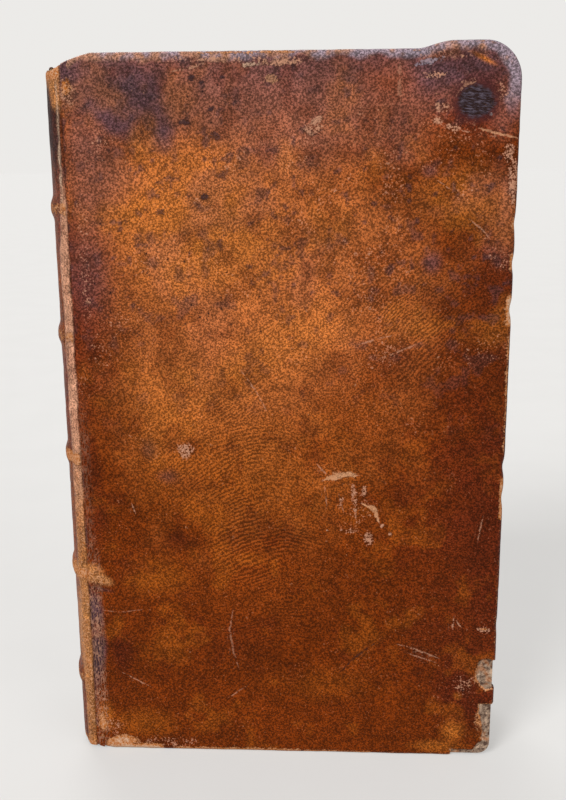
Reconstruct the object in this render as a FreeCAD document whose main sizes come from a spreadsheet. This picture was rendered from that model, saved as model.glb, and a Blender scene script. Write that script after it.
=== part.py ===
"""A small antique book bound in full calf, standing on its tail, in millimetres.

+Z runs from the tail to the head, -Y is the front cover's side and -X the spine's side.
The origin is the middle of the base. The covers turn about the outer edges of the joints.
"""

import FreeCAD, Part
import os
from math import isclose

import Sketcher
from FreeCAD import Placement, Rotation, Vector

PARTS_FOLDER = "parts"
SIDES = ("front", "back")

DIMENSIONS = {
    # The leaves
    "block_height": 200.0,
    "block_width": 118.6,  # joint to fore-edge
    "block_thickness": 29.0,
    "back_round": 6.4,  # how far the back stands out behind the joints
    "fore_hollow": 4.0,  # how deep the fore-edge curves in
    "endpaper_thickness": 0.2,
    "page_clearance": 0.3,  # between the leaves and each closed cover
    # The covers
    "square": 4.0,  # how far a cover stands out past the leaves
    "board_thickness": 2.6,
    "leather_thickness": 0.8,
    "turn_in_thickness": 0.4,
    "turn_in_width": 12.0,
    "joint_gap": 0.3,  # between a cover's edge and the shoulder
    "joint_step": 0.3,  # how far the bands stay under the covers' outer faces
    # The cords and the bands that they raise
    "cord_count": 5,
    "cord_height": 3.0,
    "cord_sink": 1.2,  # sunk into the back
    "cord_rise": 0.4,  # proud of the back
    "cord_side_sink": 0.6,
    "cord_side_rise": 0.2,
    "band_margin": 1.0,  # leather beside a cord that rises with it
    "lowest_cord": 23.0,  # height of the lowest cord's middle above the base
    "cord_spacing": 36.0,
    "slip_length": 11.0,
    "slip_depth": 0.6,
    "slip_tip": 1.4,  # height of the frayed end
    # The endbands
    "endband_height": 1.8,
    "endband_depth": 2.0,
    # Wear
    "head_loss": 1.0,  # spine leather gone below the head of the leaves
    "tail_cap_wear": 0.6,  # spine leather gone above the base
    "corner_run": 4.0,  # corners cut back at the joints, plain ones
    "corner_drop": 2.0,
    "worn_corner_run": 8.0,  # the front cover's head corner at the joint
    "worn_corner_drop": 4.5,
    "cover_corner": 3.0,  # radius of a sound outer corner
    "bumped_corner": 10.0,  # radius of the front cover's swollen head corner
    "bumped_rise": 2.0,
    "bump_flat": 18.0,  # where the swelling is full, from the fore-edge
    "bump_foot": 28.0,  # where it starts
    "rubbed_corner": 4.5,  # radius of the front cover's tail corner
    "bare_width": 5.0,  # board laid bare at that corner, along the fore-edge
    "bare_height": 14.0,
    "bare_tail_run": 13.0,
    "bare_tail_height": 3.0,
}

# Derived sizes, as expressions on the sheet.
HALF_BLOCK = "(Sizes.block_thickness / 2)"
LEAF_FACE = f"({HALF_BLOCK} + Sizes.endpaper_thickness)"
PASTEDOWN_FACE = f"({LEAF_FACE} + Sizes.page_clearance)"
TURN_IN_FACE = f"({PASTEDOWN_FACE} + Sizes.endpaper_thickness)"
BOARD_FACE = f"({TURN_IN_FACE} + Sizes.turn_in_thickness)"
BOARD_OUTSIDE = f"({BOARD_FACE} + Sizes.board_thickness)"
HALF_BOOK = f"({BOARD_OUTSIDE} + Sizes.leather_thickness)"
COVER_DEPTH = "(Sizes.turn_in_thickness + Sizes.board_thickness + Sizes.leather_thickness)"
COVER_WIDTH = "(Sizes.block_width + Sizes.square)"
COVER_HEIGHT = "(Sizes.block_height + 2 * Sizes.square)"
SPINE_DEPTH = "(Sizes.joint_gap + Sizes.back_round + Sizes.leather_thickness + Sizes.cord_rise)"
HINGE_X = f"(({SPINE_DEPTH} - {COVER_WIDTH}) / 2)"
FORE_X = f"({HINGE_X} + {COVER_WIDTH})"
BACK_X = f"({HINGE_X} - Sizes.joint_gap)"  # the plane of the shoulders
BAND_HALF = f"({HALF_BOOK} - Sizes.joint_step)"
SPINE_HALF = f"({BAND_HALF} - Sizes.cord_side_rise)"
BACK_HALF = f"({SPINE_HALF} - Sizes.leather_thickness)"  # the shoulders' half width
BACK_OUT = "Sizes.back_round"
SPINE_OUT = f"({BACK_OUT} + Sizes.leather_thickness)"
BAND_OUT = f"({SPINE_OUT} + Sizes.cord_rise)"
HEAD = f"({COVER_HEIGHT} - Sizes.square)"  # the head of the leaves

doc = FreeCAD.newDocument("AntiqueBook")
nodes = []


def make_sheet():
    """Puts the driving dimensions into the sheet, one alias a row."""
    sheet = doc.addObject("Spreadsheet::Sheet", "Sizes")
    for row, (name, value) in enumerate(DIMENSIONS.items(), start=1):
        sheet.set(f"A{row}", name)
        sheet.set(f"B{row}", str(value))
        sheet.setAlias(f"B{row}", name)
    doc.recompute()


def bind(item, **expressions):
    """Binds properties of an object to expressions on the sheet."""
    for path, text in expressions.items():
        item.setExpression(path.replace("_at_", "."), text)
    return item


def place(item, along=None, across=None, up=None):
    """Binds the place of an object, leaving out what stays at zero."""
    for axis, text in (("x", along), ("y", across), ("z", up)):
        if text is not None:
            item.setExpression(f"Placement.Base.{axis}", text)
    return item


def keep(item, node):
    """Names a finished sub-part, which becomes the node of that name."""
    item.Label = node
    nodes.append(item)
    return item


def box(name, length, width, height, along, across, up):
    """A block whose sizes and low corner are expressions."""
    item = doc.addObject("Part::Box", name)
    bind(item, Length=length, Width=width, Height=height)
    return place(item, along, across, up)


def join(name, items):
    """One solid made of several."""
    item = doc.addObject("Part::MultiFuse", name)
    item.Shapes = items
    item.Refine = True
    return item


def cut(name, base, tool):
    """What is left of the base once the tool is taken away."""
    item = doc.addObject("Part::Cut", name)
    item.Base, item.Tool, item.Refine = base, tool, True
    return item


def back_round(name, half, out, low, high):
    """The half of an elliptic column that stands out behind the shoulders' plane."""
    outline = doc.addObject("Part::Ellipse", f"{name}_outline")
    outline.Placement = Placement(Vector(), Rotation(Vector(0, 0, 1), 90))
    bind(outline, MajorRadius=half, MinorRadius=out)
    place(outline, along=BACK_X, up=low)
    column = doc.addObject("Part::Extrusion", f"{name}_column")
    column.Base = outline
    column.DirMode = "Normal"
    column.Solid = True
    bind(column, LengthFwd=f"{high} - {low}")
    behind = box(f"{name}_behind", f"{out} * 2", f"{half} * 4", f"{high} - {low}",
                 f"{BACK_X} - {out} * 2", f"-{half} * 2", low)
    item = doc.addObject("Part::Common", name)
    item.Base, item.Tool, item.Refine = column, behind, True
    return item


def cord_middle(index):
    """The height of a cord's middle line, counted from the tail."""
    return f"(Sizes.lowest_cord + {index} * Sizes.cord_spacing)"


def make_cords():
    """The sewing cords: flattened crescents, half sunk into the back of the leaves."""
    cords = []
    for index in range(DIMENSIONS["cord_count"]):
        low = f"({cord_middle(index)} - Sizes.cord_height / 2)"
        high = f"({cord_middle(index)} + Sizes.cord_height / 2)"
        outside = back_round(f"cord_outside_{index + 1}", f"({BACK_HALF} + Sizes.cord_side_rise)",
                             f"({BACK_OUT} + Sizes.cord_rise)", low, high)
        inside = back_round(f"cord_inside_{index + 1}", f"({BACK_HALF} - Sizes.cord_side_sink)",
                            f"({BACK_OUT} - Sizes.cord_sink)", low, high)
        cord = cut(f"cord_{index + 1}", outside, inside)
        cords.append(keep(cord, f"sewing_cord_{index + 1}"))
    return cords


def make_text_block(cords):
    """The leaves: a rounded back with shoulders, kerfs for the cords, a hollow fore-edge."""
    leaves = box("leaves", "Sizes.joint_gap + Sizes.block_width", "Sizes.block_thickness",
                 "Sizes.block_height", BACK_X, f"-{HALF_BLOCK}", "Sizes.square")
    back = back_round("back", BACK_HALF, BACK_OUT, "Sizes.square", HEAD)
    sewn = join("sewn_leaves", [leaves, back])
    radius = f"(({HALF_BLOCK} ^ 2 + Sizes.fore_hollow ^ 2) / (2 * Sizes.fore_hollow))"
    hollow = doc.addObject("Part::Cylinder", "fore_edge_hollow")
    bind(hollow, Radius=radius, Height="Sizes.block_height")
    place(hollow, along=f"{HINGE_X} + Sizes.block_width - Sizes.fore_hollow + {radius}",
          up="Sizes.square")
    keep(cut("text_block_cut", sewn, join("block_tools", [hollow] + cords)), "text_block")


def make_spine_leather(cords):
    """The hide over the back, raised over each cord and worn short at both ends."""
    low = "Sizes.tail_cap_wear"
    high = f"({HEAD} - Sizes.head_loss)"
    skin = [back_round("spine_skin", SPINE_HALF, SPINE_OUT, low, high)]
    for index in range(DIMENSIONS["cord_count"]):
        reach = "(Sizes.cord_height / 2 + Sizes.band_margin)"
        middle = cord_middle(index)
        skin.append(back_round(f"band_{index + 1}", BAND_HALF, BAND_OUT,
                               f"({middle} - {reach})", f"({middle} + {reach})"))
    hollow = back_round("spine_hollow", BACK_HALF, BACK_OUT, low, high)
    tools = join("spine_tools", [hollow] + cords)
    keep(cut("spine_leather_cut", join("spine_outside", skin), tools), "spine_leather")


def make_endbands():
    """The sewn bands that lie on the head and tail of the back, inside the leather."""
    for end, low, high in (
        ("head", HEAD, f"({HEAD} + Sizes.endband_height)"),
        ("tail", "(Sizes.square - Sizes.endband_height)", "Sizes.square"),
    ):
        outside = back_round(f"{end}_band_outside", BACK_HALF, BACK_OUT, low, high)
        inside = back_round(f"{end}_band_inside", f"({BACK_HALF} - Sizes.endband_depth)",
                            f"({BACK_OUT} - Sizes.endband_depth)", low, high)
        ring = cut(f"{end}_band_ring", outside, inside)
        between = box(f"{end}_band_between", f"{BACK_OUT} * 2", "Sizes.block_thickness",
                      "Sizes.endband_height", f"{BACK_X} - {BACK_OUT} * 2", f"-{HALF_BLOCK}", low)
        band = doc.addObject("Part::Common", f"{end}_band")
        band.Base, band.Tool, band.Refine = ring, between, True
        keep(band, f"{end}_endband")


def cover_corners(side, inset):
    """The corners of a cover's outline, from the joint's tail corner round by the fore-edge.

    Each is an (x, z) pair of expressions. The front cover has the worn corners.
    """
    low, top = inset, f"({COVER_HEIGHT} - {inset})"
    fore = f"({FORE_X} - {inset})"
    run, drop = "Sizes.corner_run", "Sizes.corner_drop"
    tail = [(HINGE_X, f"{low} + {drop}"), (f"{HINGE_X} + {run}", low), (fore, low)]
    if side == "back":
        return tail + [(fore, top), (f"{HINGE_X} + {run}", top), (HINGE_X, f"{top} - {drop}")]
    return tail + [
        (fore, f"{top} + Sizes.bumped_rise"),
        (f"{FORE_X} - Sizes.bump_flat", f"{top} + Sizes.bumped_rise"),
        (f"{FORE_X} - Sizes.bump_foot", top),
        (f"{HINGE_X} + Sizes.worn_corner_run", top),
        (HINGE_X, f"{top} - Sizes.worn_corner_drop"),
    ]


def number(text):
    """What an expression on the sheet comes to."""
    return float(doc.getObject("Sizes").evalExpression(text))


def outline_sketch(body, name, corners, face):
    """A closed outline in the XZ plane, its corners bound, at a distance towards -Y."""
    plane = next(f for f in body.Origin.OriginFeatures if f.Role == "XZ_Plane")
    sketch = body.newObject("Sketcher::SketchObject", name)
    sketch.AttachmentSupport = (plane, [""])
    sketch.MapMode = "FlatFace"
    sketch.setExpression("AttachmentOffset.Base.z", face)
    points = [Vector(number(x), number(z), 0) for x, z in corners]
    following = points[1:] + points[:1]
    for start, end in zip(points, following):
        sketch.addGeometry(Part.LineSegment(start, end), False)
    count = len(corners)
    for index in range(count):
        sketch.addConstraint(Sketcher.Constraint("Coincident", index, 2, (index + 1) % count, 1))
    for index, (x, z) in enumerate(corners):
        for kind, text, size in (("DistanceX", x, points[index].x), ("DistanceY", z, points[index].y)):
            bound = sketch.addConstraint(Sketcher.Constraint(kind, -1, 1, index, 1, size))
            sketch.setExpression(f"Constraints[{bound}]", text)
    return sketch


def upright_edges(shape, x, z):
    """The names of the edges that run along Y through the point (x, z)."""
    names = []
    for index, edge in enumerate(shape.Edges, start=1):
        ends = [vertex.Point for vertex in edge.Vertexes]
        if all(isclose(p.x, x, abs_tol=1e-4) and isclose(p.z, z, abs_tol=1e-4) for p in ends):
            names.append(f"Edge{index}")
    return names


def cover_plate(side, name, inset, face, depth):
    """A plate with a cover's outline, its outer corners rounded.

    Args:
        inset: how far the outline lies inside the covered board's.
        face: distance of the inner face from the middle plane.
        depth: thickness, measured outwards from there.
    """
    body = doc.addObject("PartDesign::Body", name)
    corners = cover_corners(side, inset)
    start = face if side == "front" else f"-({face} + {depth})"
    sketch = outline_sketch(body, f"{name}_outline", corners, start)
    pad = body.newObject("PartDesign::Pad", f"{name}_pad")
    pad.Profile = sketch
    pad.setExpression("Length", depth)
    doc.recompute()
    rounded = pad
    tail_radius, head_radius = ("Sizes.cover_corner",) * 2
    if side == "front":
        tail_radius, head_radius = "Sizes.rubbed_corner", "Sizes.bumped_corner"
    for (x, z), radius in ((corners[2], tail_radius), (corners[3], head_radius)):
        edges = upright_edges(rounded.Shape, number(x), number(z))
        fillet = body.newObject("PartDesign::Fillet", f"{name}_corner")
        fillet.Base = (rounded, edges)
        fillet.setExpression("Radius", f"{radius} - {inset}")
        doc.recompute()
        rounded = fillet
    body.Tip = rounded
    return body


def towards(side, near, far):
    """The low Y of something that spans near to far outwards from the middle plane."""
    return f"-{far}" if side == "front" else near


def make_slips(side):
    """The cord ends let into the outer face of a board, each tapering to a frayed tip."""
    slips = []
    outwards = -1 if side == "front" else 1
    for index in range(DIMENSIONS["cord_count"]):
        slip = doc.addObject("Part::Wedge", f"{side}_slip_{index + 1}")
        # The wedge runs along its own Y, which is turned to lie along +X.
        bind(slip, Xmin="0", Xmax="Sizes.slip_depth", X2min="0", X2max="Sizes.slip_depth",
             Ymin="0", Ymax="Sizes.slip_length",
             Zmin="-Sizes.cord_height / 2", Zmax="Sizes.cord_height / 2",
             Z2min="-Sizes.slip_tip / 2", Z2max="Sizes.slip_tip / 2")
        slip.Placement = Placement(Vector(), Rotation(Vector(0, 0, 1), -90))
        high = f"-{BOARD_OUTSIDE} + Sizes.slip_depth" if outwards < 0 else BOARD_OUTSIDE
        place(slip, HINGE_X, high, cord_middle(index))
        slips.append(slip)
    group = doc.addObject("Part::Compound", f"{side}_slips")
    group.Links = slips
    return keep(group, f"{side}_cord_slips"), slips


def bare_corner():
    """The piece of hide that is worn off the front cover's tail corner, as a plate."""
    body = doc.addObject("PartDesign::Body", "bare_corner")
    past, under = f"({FORE_X} + Sizes.square)", "-Sizes.square"
    inner = f"({FORE_X} - Sizes.bare_width)"
    corners = [
        (f"({FORE_X} - Sizes.bare_tail_run)", under),
        (past, under),
        (past, "Sizes.bare_height"),
        (f"{inner} + Sizes.bare_width / 4", "Sizes.bare_height"),
        (inner, "Sizes.bare_tail_height * 1.6"),
        (f"({FORE_X} - Sizes.bare_tail_run)", "Sizes.bare_tail_height"),
    ]
    sketch = outline_sketch(body, "bare_corner_outline", corners, TURN_IN_FACE)
    pad = body.newObject("PartDesign::Pad", "bare_corner_pad")
    pad.Profile = sketch
    pad.setExpression("Length", f"{COVER_DEPTH} * 2")
    return body


def make_cover(side):
    """One cover: the board with its cord slips, the hide round it and the pastedown."""
    slips_node, slips = make_slips(side)
    board = cover_plate(side, f"{side}_plain_board", "Sizes.leather_thickness", BOARD_FACE,
                        "Sizes.board_thickness")
    keep(cut(f"{side}_laced_board", board, join(f"{side}_slip_tools", slips)), f"{side}_board")

    blank = cover_plate(side, f"{side}_hide", "0", TURN_IN_FACE, COVER_DEPTH)
    margin = "(Sizes.leather_thickness + Sizes.turn_in_width)"
    fill_length = f"({COVER_WIDTH} - {margin})"
    fill_height = f"({COVER_HEIGHT} - 2 * {margin})"
    fill = box(f"{side}_turned_in_field", fill_length, "Sizes.turn_in_thickness", fill_height,
               HINGE_X, towards(side, TURN_IN_FACE, BOARD_FACE), margin)
    tools = [board, fill]
    if side == "front":
        tools.append(bare_corner())
    keep(cut(f"{side}_skin", blank, join(f"{side}_skin_tools", tools)), f"{side}_cover_leather")

    sheet = box(f"{side}_pasted_leaf", "Sizes.block_width", "Sizes.endpaper_thickness",
                "Sizes.block_height", HINGE_X,
                towards(side, PASTEDOWN_FACE, TURN_IN_FACE), "Sizes.square")
    keep(join(f"{side}_pasted_sheet", [sheet, fill]), f"{side}_pastedown")


def make_flyleaf(side):
    """The free half of the endpaper, lying on the leaves."""
    leaf = box(f"{side}_free_leaf", "Sizes.block_width", "Sizes.endpaper_thickness",
               "Sizes.block_height", HINGE_X, towards(side, HALF_BLOCK, LEAF_FACE), "Sizes.square")
    keep(leaf, f"{side}_flyleaf")


def check():
    """Stops on any object that failed and on any sub-part that isn't a sound solid."""
    doc.recompute()
    for item in doc.Objects:
        if "Invalid" in item.State or "Error" in item.State:
            raise RuntimeError(f"{item.Name} failed: {item.State}")
    for item in nodes:
        shape = item.Shape
        if shape.isNull() or not shape.isValid() or not shape.Solids:
            raise RuntimeError(f"{item.Label} isn't a sound solid")


def export():
    """Writes each sub-part to a file of its own."""
    os.makedirs(PARTS_FOLDER, exist_ok=True)
    for item in nodes:
        item.Shape.exportStep(f"{PARTS_FOLDER}/{item.Label}.step")
        print(f"{item.Label}: {len(item.Shape.Solids)} solids, {item.Shape.Volume / 1000:.2f} cm3")


make_sheet()
sewing_cords = make_cords()
make_text_block(sewing_cords)
make_spine_leather(sewing_cords)
make_endbands()
for cover_side in SIDES:
    make_cover(cover_side)
    make_flyleaf(cover_side)
check()
export()
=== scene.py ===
"""Looks of an antique book in full calf, standing on its tail, seen from the front and above.

Lengths on the covers are in millimetres: u runs from the joint towards the fore-edge and v
from the tail towards the head. Meshes are made in metres, in the frame of the solids.
"""

import logging
import math
from dataclasses import dataclass, field, replace
from enum import Enum
from functools import reduce
from typing import Sequence

import bpy
import numpy as np
from mathutils import Matrix, Vector

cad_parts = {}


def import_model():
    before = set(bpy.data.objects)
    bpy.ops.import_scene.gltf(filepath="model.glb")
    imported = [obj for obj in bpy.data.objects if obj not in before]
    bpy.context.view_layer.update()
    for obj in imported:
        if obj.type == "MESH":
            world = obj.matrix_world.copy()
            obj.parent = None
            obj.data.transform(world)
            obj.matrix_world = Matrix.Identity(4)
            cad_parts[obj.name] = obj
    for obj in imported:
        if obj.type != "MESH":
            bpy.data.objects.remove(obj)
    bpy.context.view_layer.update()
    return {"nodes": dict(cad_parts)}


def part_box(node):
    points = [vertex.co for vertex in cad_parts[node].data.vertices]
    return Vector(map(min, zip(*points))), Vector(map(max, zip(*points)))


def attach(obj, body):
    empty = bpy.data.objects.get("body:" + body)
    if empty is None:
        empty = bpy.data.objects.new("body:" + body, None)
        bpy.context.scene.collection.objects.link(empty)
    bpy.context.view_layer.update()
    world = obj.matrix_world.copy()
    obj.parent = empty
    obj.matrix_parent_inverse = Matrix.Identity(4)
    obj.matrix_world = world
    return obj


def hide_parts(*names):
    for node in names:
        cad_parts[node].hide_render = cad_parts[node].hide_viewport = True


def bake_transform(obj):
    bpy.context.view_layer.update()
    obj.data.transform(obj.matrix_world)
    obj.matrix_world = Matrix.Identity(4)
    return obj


MM = 0.001
BAND_RISE = 0.4  # the solid bands' height over the spine's hide, and the same at its sides
BAND_RISE_AT_SIDES = 0.2
BACK_RADIUS = 14.0  # turns an angle round the back into a length along it
MIDDLE_Z = 0.1  # metres; a height between tail and head
EDGE_WANDER = 0.22  # how far a stain's edge wanders, as a share of its size
log = logging.getLogger("book")

Array = np.ndarray
Colour = tuple[float, float, float]
Socket = bpy.types.NodeSocket
Material = bpy.types.Material
Piece = bpy.types.Object


class Side(Enum):
    """The two covers, each with the sign of Y on its outside."""

    FRONT = -1
    BACK = 1

    @property
    def word(self) -> str:
        """The word that the cover's nodes start with."""
        return self.name.lower()


def corners(node: str) -> tuple[Array, Array]:
    """The low and the high corner of a node's box, in millimetres."""
    low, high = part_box(node)
    return np.array(low) / MM, np.array(high) / MM


@dataclass(frozen=True)
class BookSize:
    """Sizes of the solids, in millimetres, read once from the frame."""

    hinge_x: float
    fore_x: float
    half: float
    cover_depth: float
    height: float
    spine_x_plane: float
    spine_out: float
    spine_side: float
    spine_low: float
    spine_high: float
    block_low: Array
    block_high: Array
    cord_heights: tuple[float, ...]

    @classmethod
    def read(cls) -> "BookSize":
        """Measures the nodes that the visible pieces are fitted to."""
        hide_low, hide_high = corners("back_cover_leather")
        spine_low, spine_high = corners("spine_leather")
        block_low, block_high = corners("text_block")
        cords = [corners(f"sewing_cord_{index}") for index in range(1, 6)]
        return cls(
            hinge_x=hide_low[0],
            fore_x=hide_high[0],
            half=hide_high[1],
            cover_depth=hide_high[1] - hide_low[1],
            height=hide_high[2],
            spine_x_plane=spine_high[0],
            spine_out=spine_high[0] - spine_low[0] - BAND_RISE,
            spine_side=spine_high[1] - BAND_RISE_AT_SIDES,
            spine_low=spine_low[2],
            spine_high=spine_high[2],
            block_low=block_low,
            block_high=block_high,
            cord_heights=tuple((low[2] + high[2]) / 2 for low, high in cords),
        )

    @property
    def width(self) -> float:
        """Width of a cover from the joint to the fore-edge."""
        return self.fore_x - self.hinge_x


def unit(value: Array) -> Array:
    """The value kept between 0 and 1."""
    return np.clip(value, 0.0, 1.0)


def over(tone: Array, colour: Colour | Array, amount: Array) -> Array:
    """The tone of each place with a colour laid over it, by an amount for each place."""
    amount = amount[:, None]
    return tone * (1.0 - amount) + np.array(colour) * amount


def smooth_step(low: float, high: float, value: Array) -> Array:
    """Rises smoothly from 0 at low to 1 at high, or falls if high is the lower one."""
    part = unit((value - low) / (high - low))
    return part * part * (3.0 - 2.0 * part)


def spots(*parts: Array) -> Array:
    """Places from one to three arrays of coordinates, with 0 for each that is left out."""
    blank = np.zeros_like(parts[0])
    return np.column_stack([*parts, blank, blank][:3])


def lattice_noise(points: Array, seed: int) -> Array:
    """Smooth noise between -1 and 1 on a unit lattice.

    Args:
        points: an (n, 3) array of places, one lattice cell a unit.
        seed: picks the pattern.

    Returns:
        One number for each place.
    """
    base = np.floor(points).astype(np.int64)
    part = points - base
    fade = part * part * (3.0 - 2.0 * part)
    total = np.zeros(len(points))
    for corner in np.ndindex(2, 2, 2):
        cell = base + np.array(corner)
        mixed = cell[:, 0] * 374761393 + cell[:, 1] * 668265263 + cell[:, 2] * 144665771 + seed * 982451653
        mixed = (mixed ^ (mixed >> 13)) & 0xFFFFFFFF
        mixed = (mixed * 1274126177) & 0xFFFFFFFF
        mixed = (mixed ^ (mixed >> 16)) & 0xFFFFFF
        weight = np.prod(np.where(np.array(corner) == 1, fade, 1.0 - fade), axis=1)
        total += weight * (mixed / 0xFFFFFF * 2.0 - 1.0)
    return total


def layered_noise(points: Array, size: float, seed: int, layers: int = 3) -> Array:
    """Noise of several sizes, each half the one before and half as strong.

    Args:
        points: places in millimetres.
        size: the coarsest cell, in millimetres.
        seed: picks the pattern.
        layers: how many sizes are added up.
    """
    total, strength = np.zeros(len(points)), 1.0
    for layer in range(layers):
        total += strength * lattice_noise(points / size * 2.0**layer, seed + layer)
        strength *= 0.5
    return total / (2.0 - 2.0 ** (1 - layers))


class Recipe:
    """A material's node tree, built with short calls in millimetres."""

    def __init__(self, name: str) -> None:
        """Starts an empty material with one shader and Object coordinates in millimetres."""
        self.material = bpy.data.materials.new(name)
        self.material.use_nodes = True
        self.tree = self.material.node_tree
        self.tree.nodes.clear()
        output = self.node("ShaderNodeOutputMaterial")
        self.shader = self.node("ShaderNodeBsdfPrincipled")
        self.tree.links.new(self.shader.outputs["BSDF"], output.inputs["Surface"])
        place = self.node("ShaderNodeTexCoord").outputs["Object"]
        self.place = self.vector("SCALE", place, scale=1.0 / MM)

    def node(self, kind: str, **settings: object) -> bpy.types.Node:
        """Adds a node and sets its plain properties."""
        made = self.tree.nodes.new(kind)
        for name, value in settings.items():
            setattr(made, name, value)
        return made

    def put(self, socket: Socket, value: object) -> None:
        """Links a socket to another one, or gives it a constant."""
        if isinstance(value, Socket):
            self.tree.links.new(value, socket)
        elif value is not None:
            wants = getattr(socket, "default_value", None)
            if hasattr(wants, "__len__") and len(wants) == 4 and len(value) == 3:
                value = (*value, 1.0)
            socket.default_value = value

    def vector(self, operation: str, first: object, second: object = None,
               scale: object = None) -> Socket:
        """A vector sum, product or scaling's result."""
        made = self.node("ShaderNodeVectorMath", operation=operation)
        self.put(made.inputs[0], first)
        self.put(made.inputs[1], second)
        if scale is not None:
            self.put(made.inputs["Scale"], scale)
        return made.outputs["Vector"]

    def math(self, operation: str, first: object, second: object = None) -> Socket:
        """The result of a difference, maximum, sine and the like."""
        made = self.node("ShaderNodeMath", operation=operation)
        self.put(made.inputs[0], first)
        self.put(made.inputs[1], second)
        return made.outputs[0]

    def times(self, *values: object) -> Socket:
        """The product of two values or more."""
        return reduce(lambda first, second: self.math("MULTIPLY", first, second), values)

    def total(self, *terms: tuple[object, float]) -> Socket:
        """The sum of values, each times its weight."""
        parts = [value if weight == 1.0 else self.times(value, weight) for value, weight in terms]
        return reduce(lambda first, second: self.math("ADD", first, second), parts)

    def span(self, value: object, low: float, high: float, to_low: float = 0.0,
             to_high: float = 1.0) -> Socket:
        """Maps a range smoothly onto another, clamped at both ends."""
        made = self.node("ShaderNodeMapRange", interpolation_type="SMOOTHSTEP")
        self.put(made.inputs["Value"], value)
        for name, number in (("From Min", low), ("From Max", high), ("To Min", to_low), ("To Max", to_high)):
            made.inputs[name].default_value = number
        return made.outputs["Result"]

    def mix(self, factor: object, first: object, second: object) -> Socket:
        """Mixes two colours."""
        made = self.node("ShaderNodeMix", data_type="RGBA")
        self.put(made.inputs["Factor"], factor)
        colours = [socket for socket in made.inputs if socket.type == "RGBA"]
        self.put(colours[0], first)
        self.put(colours[1], second)
        return next(socket for socket in made.outputs if socket.type == "RGBA")

    def stretched(self, factors: tuple[float, float, float], turn: float = 0.0) -> Socket:
        """The place turned about Y by degrees, then scaled along each axis."""
        turned = self.node("ShaderNodeVectorRotate", rotation_type="Y_AXIS")
        self.put(turned.inputs["Vector"], self.place)
        turned.inputs["Angle"].default_value = math.radians(turn)
        return self.vector("MULTIPLY", turned.outputs["Vector"], factors)

    def noise(self, size: float, detail: float = 3.0, rough: float = 0.55,
              at: object = None) -> Socket:
        """Noise between 0 and 1 whose largest cells have the given size in millimetres."""
        made = self.node("ShaderNodeTexNoise")
        self.put(made.inputs["Vector"], self.place if at is None else at)
        made.inputs["Scale"].default_value = 1.0 / size
        made.inputs["Detail"].default_value = detail
        made.inputs["Roughness"].default_value = rough
        return made.outputs[0]

    def cells(self, size: float, feature: str = "F1", at: object = None) -> bpy.types.Node:
        """Cell pattern; its Distance output is in cells."""
        made = self.node("ShaderNodeTexVoronoi", feature=feature)
        self.put(made.inputs["Vector"], self.place if at is None else at)
        made.inputs["Scale"].default_value = 1.0 / size
        return made

    def attribute(self, name: str) -> bpy.types.Node:
        """Reads an attribute of the mesh."""
        return self.node("ShaderNodeAttribute", attribute_name=name)

    def parts(self, name: str) -> tuple[Socket, ...]:
        """The three numbers of an attribute of the mesh."""
        made = self.node("ShaderNodeSeparateXYZ")
        self.put(made.inputs[0], self.attribute(name).outputs["Vector"])
        return tuple(made.outputs)

    def bump(self, height: object, depth: float) -> Socket:
        """A normal from a height, whose full range is depth millimetres."""
        made = self.node("ShaderNodeBump")
        made.inputs["Strength"].default_value = 1.0
        made.inputs["Distance"].default_value = depth * MM
        self.put(made.inputs["Height"], height)
        return made.outputs["Normal"]

    def finish(self, colour: object, rough: object, normal: object = None,
               specular: float = 0.5) -> Material:
        """Sets the shader's sockets and gives the material."""
        self.put(self.shader.inputs["Base Color"], colour)
        self.put(self.shader.inputs["Roughness"], rough)
        self.put(self.shader.inputs["Normal"], normal)
        self.shader.inputs["Specular IOR Level"].default_value = specular
        return self.material


@dataclass(frozen=True)
class Scratch:
    """A scored line on the front cover, through points in u, v millimetres.

    It tapers to both ends; strength is how far it lightens the hide, or darkens it if negative.
    """

    points: tuple[tuple[float, float], ...]
    width: float = 0.35
    strength: float = 0.6


@dataclass(frozen=True)
class Patch:
    """An ellipse about u, v with its half width and half height, turned by degrees."""

    u: float
    v: float
    wide: float
    high: float

    def reach(self, u: Array, v: Array, turn: float) -> Array:
        """How far out each place is, 1 on the ellipse."""
        angle = math.radians(turn)
        along = (u - self.u) * math.cos(angle) + (v - self.v) * math.sin(angle)
        across = (v - self.v) * math.cos(angle) - (u - self.u) * math.sin(angle)
        return np.hypot(along / self.wide, across / self.high)


@dataclass(frozen=True)
class Palette:
    """The colours of the old calf."""

    amber: Colour = (0.36, 0.1, 0.026)
    honey: Colour = (0.42, 0.128, 0.018)
    orange: Colour = (0.27, 0.066, 0.006)
    russet: Colour = (0.205, 0.041, 0.005)
    oiled: Colour = (0.128, 0.0215, 0.0018)
    maroon: Colour = (0.078, 0.011, 0.003)
    oxblood: Colour = (0.105, 0.008, 0.004)
    # Painted sheen over the hide's purplish tone, laid toward the head.
    mauve_sheen: Colour = (0.215, 0.078, 0.056)
    plum: Colour = (0.085, 0.038, 0.046)
    black: Colour = (0.014, 0.007, 0.008)
    soot: Colour = (0.036, 0.021, 0.026)
    tan: Colour = (0.5, 0.2, 0.062)
    bare: Colour = (0.56, 0.27, 0.135)
    pink: Colour = (0.5, 0.245, 0.15)
    pale: Colour = (0.64, 0.42, 0.28)
    grey: Colour = (0.3, 0.25, 0.3)
    frost: Colour = (0.56, 0.52, 0.52)
    rust: Colour = (0.42, 0.12, 0.016)
    ash: Colour = (0.07, 0.058, 0.08)
    scorched: Colour = (0.05, 0.012, 0.014)


CALF = Palette()
SCRATCH_CHANNELS = ("scratch_a", "scratch_b", "scratch_c")
BURN_PLACE = (110.7, 194.5)
BURN_RADII = (5.0, 4.3)


@dataclass(frozen=True)
class Scuff(Patch):
    """A rubbed or stained spot with a ragged edge."""

    strength: float
    colour: Colour = CALF.pink
    turn: float = 0.0
    ragged: float = 0.9


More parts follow.
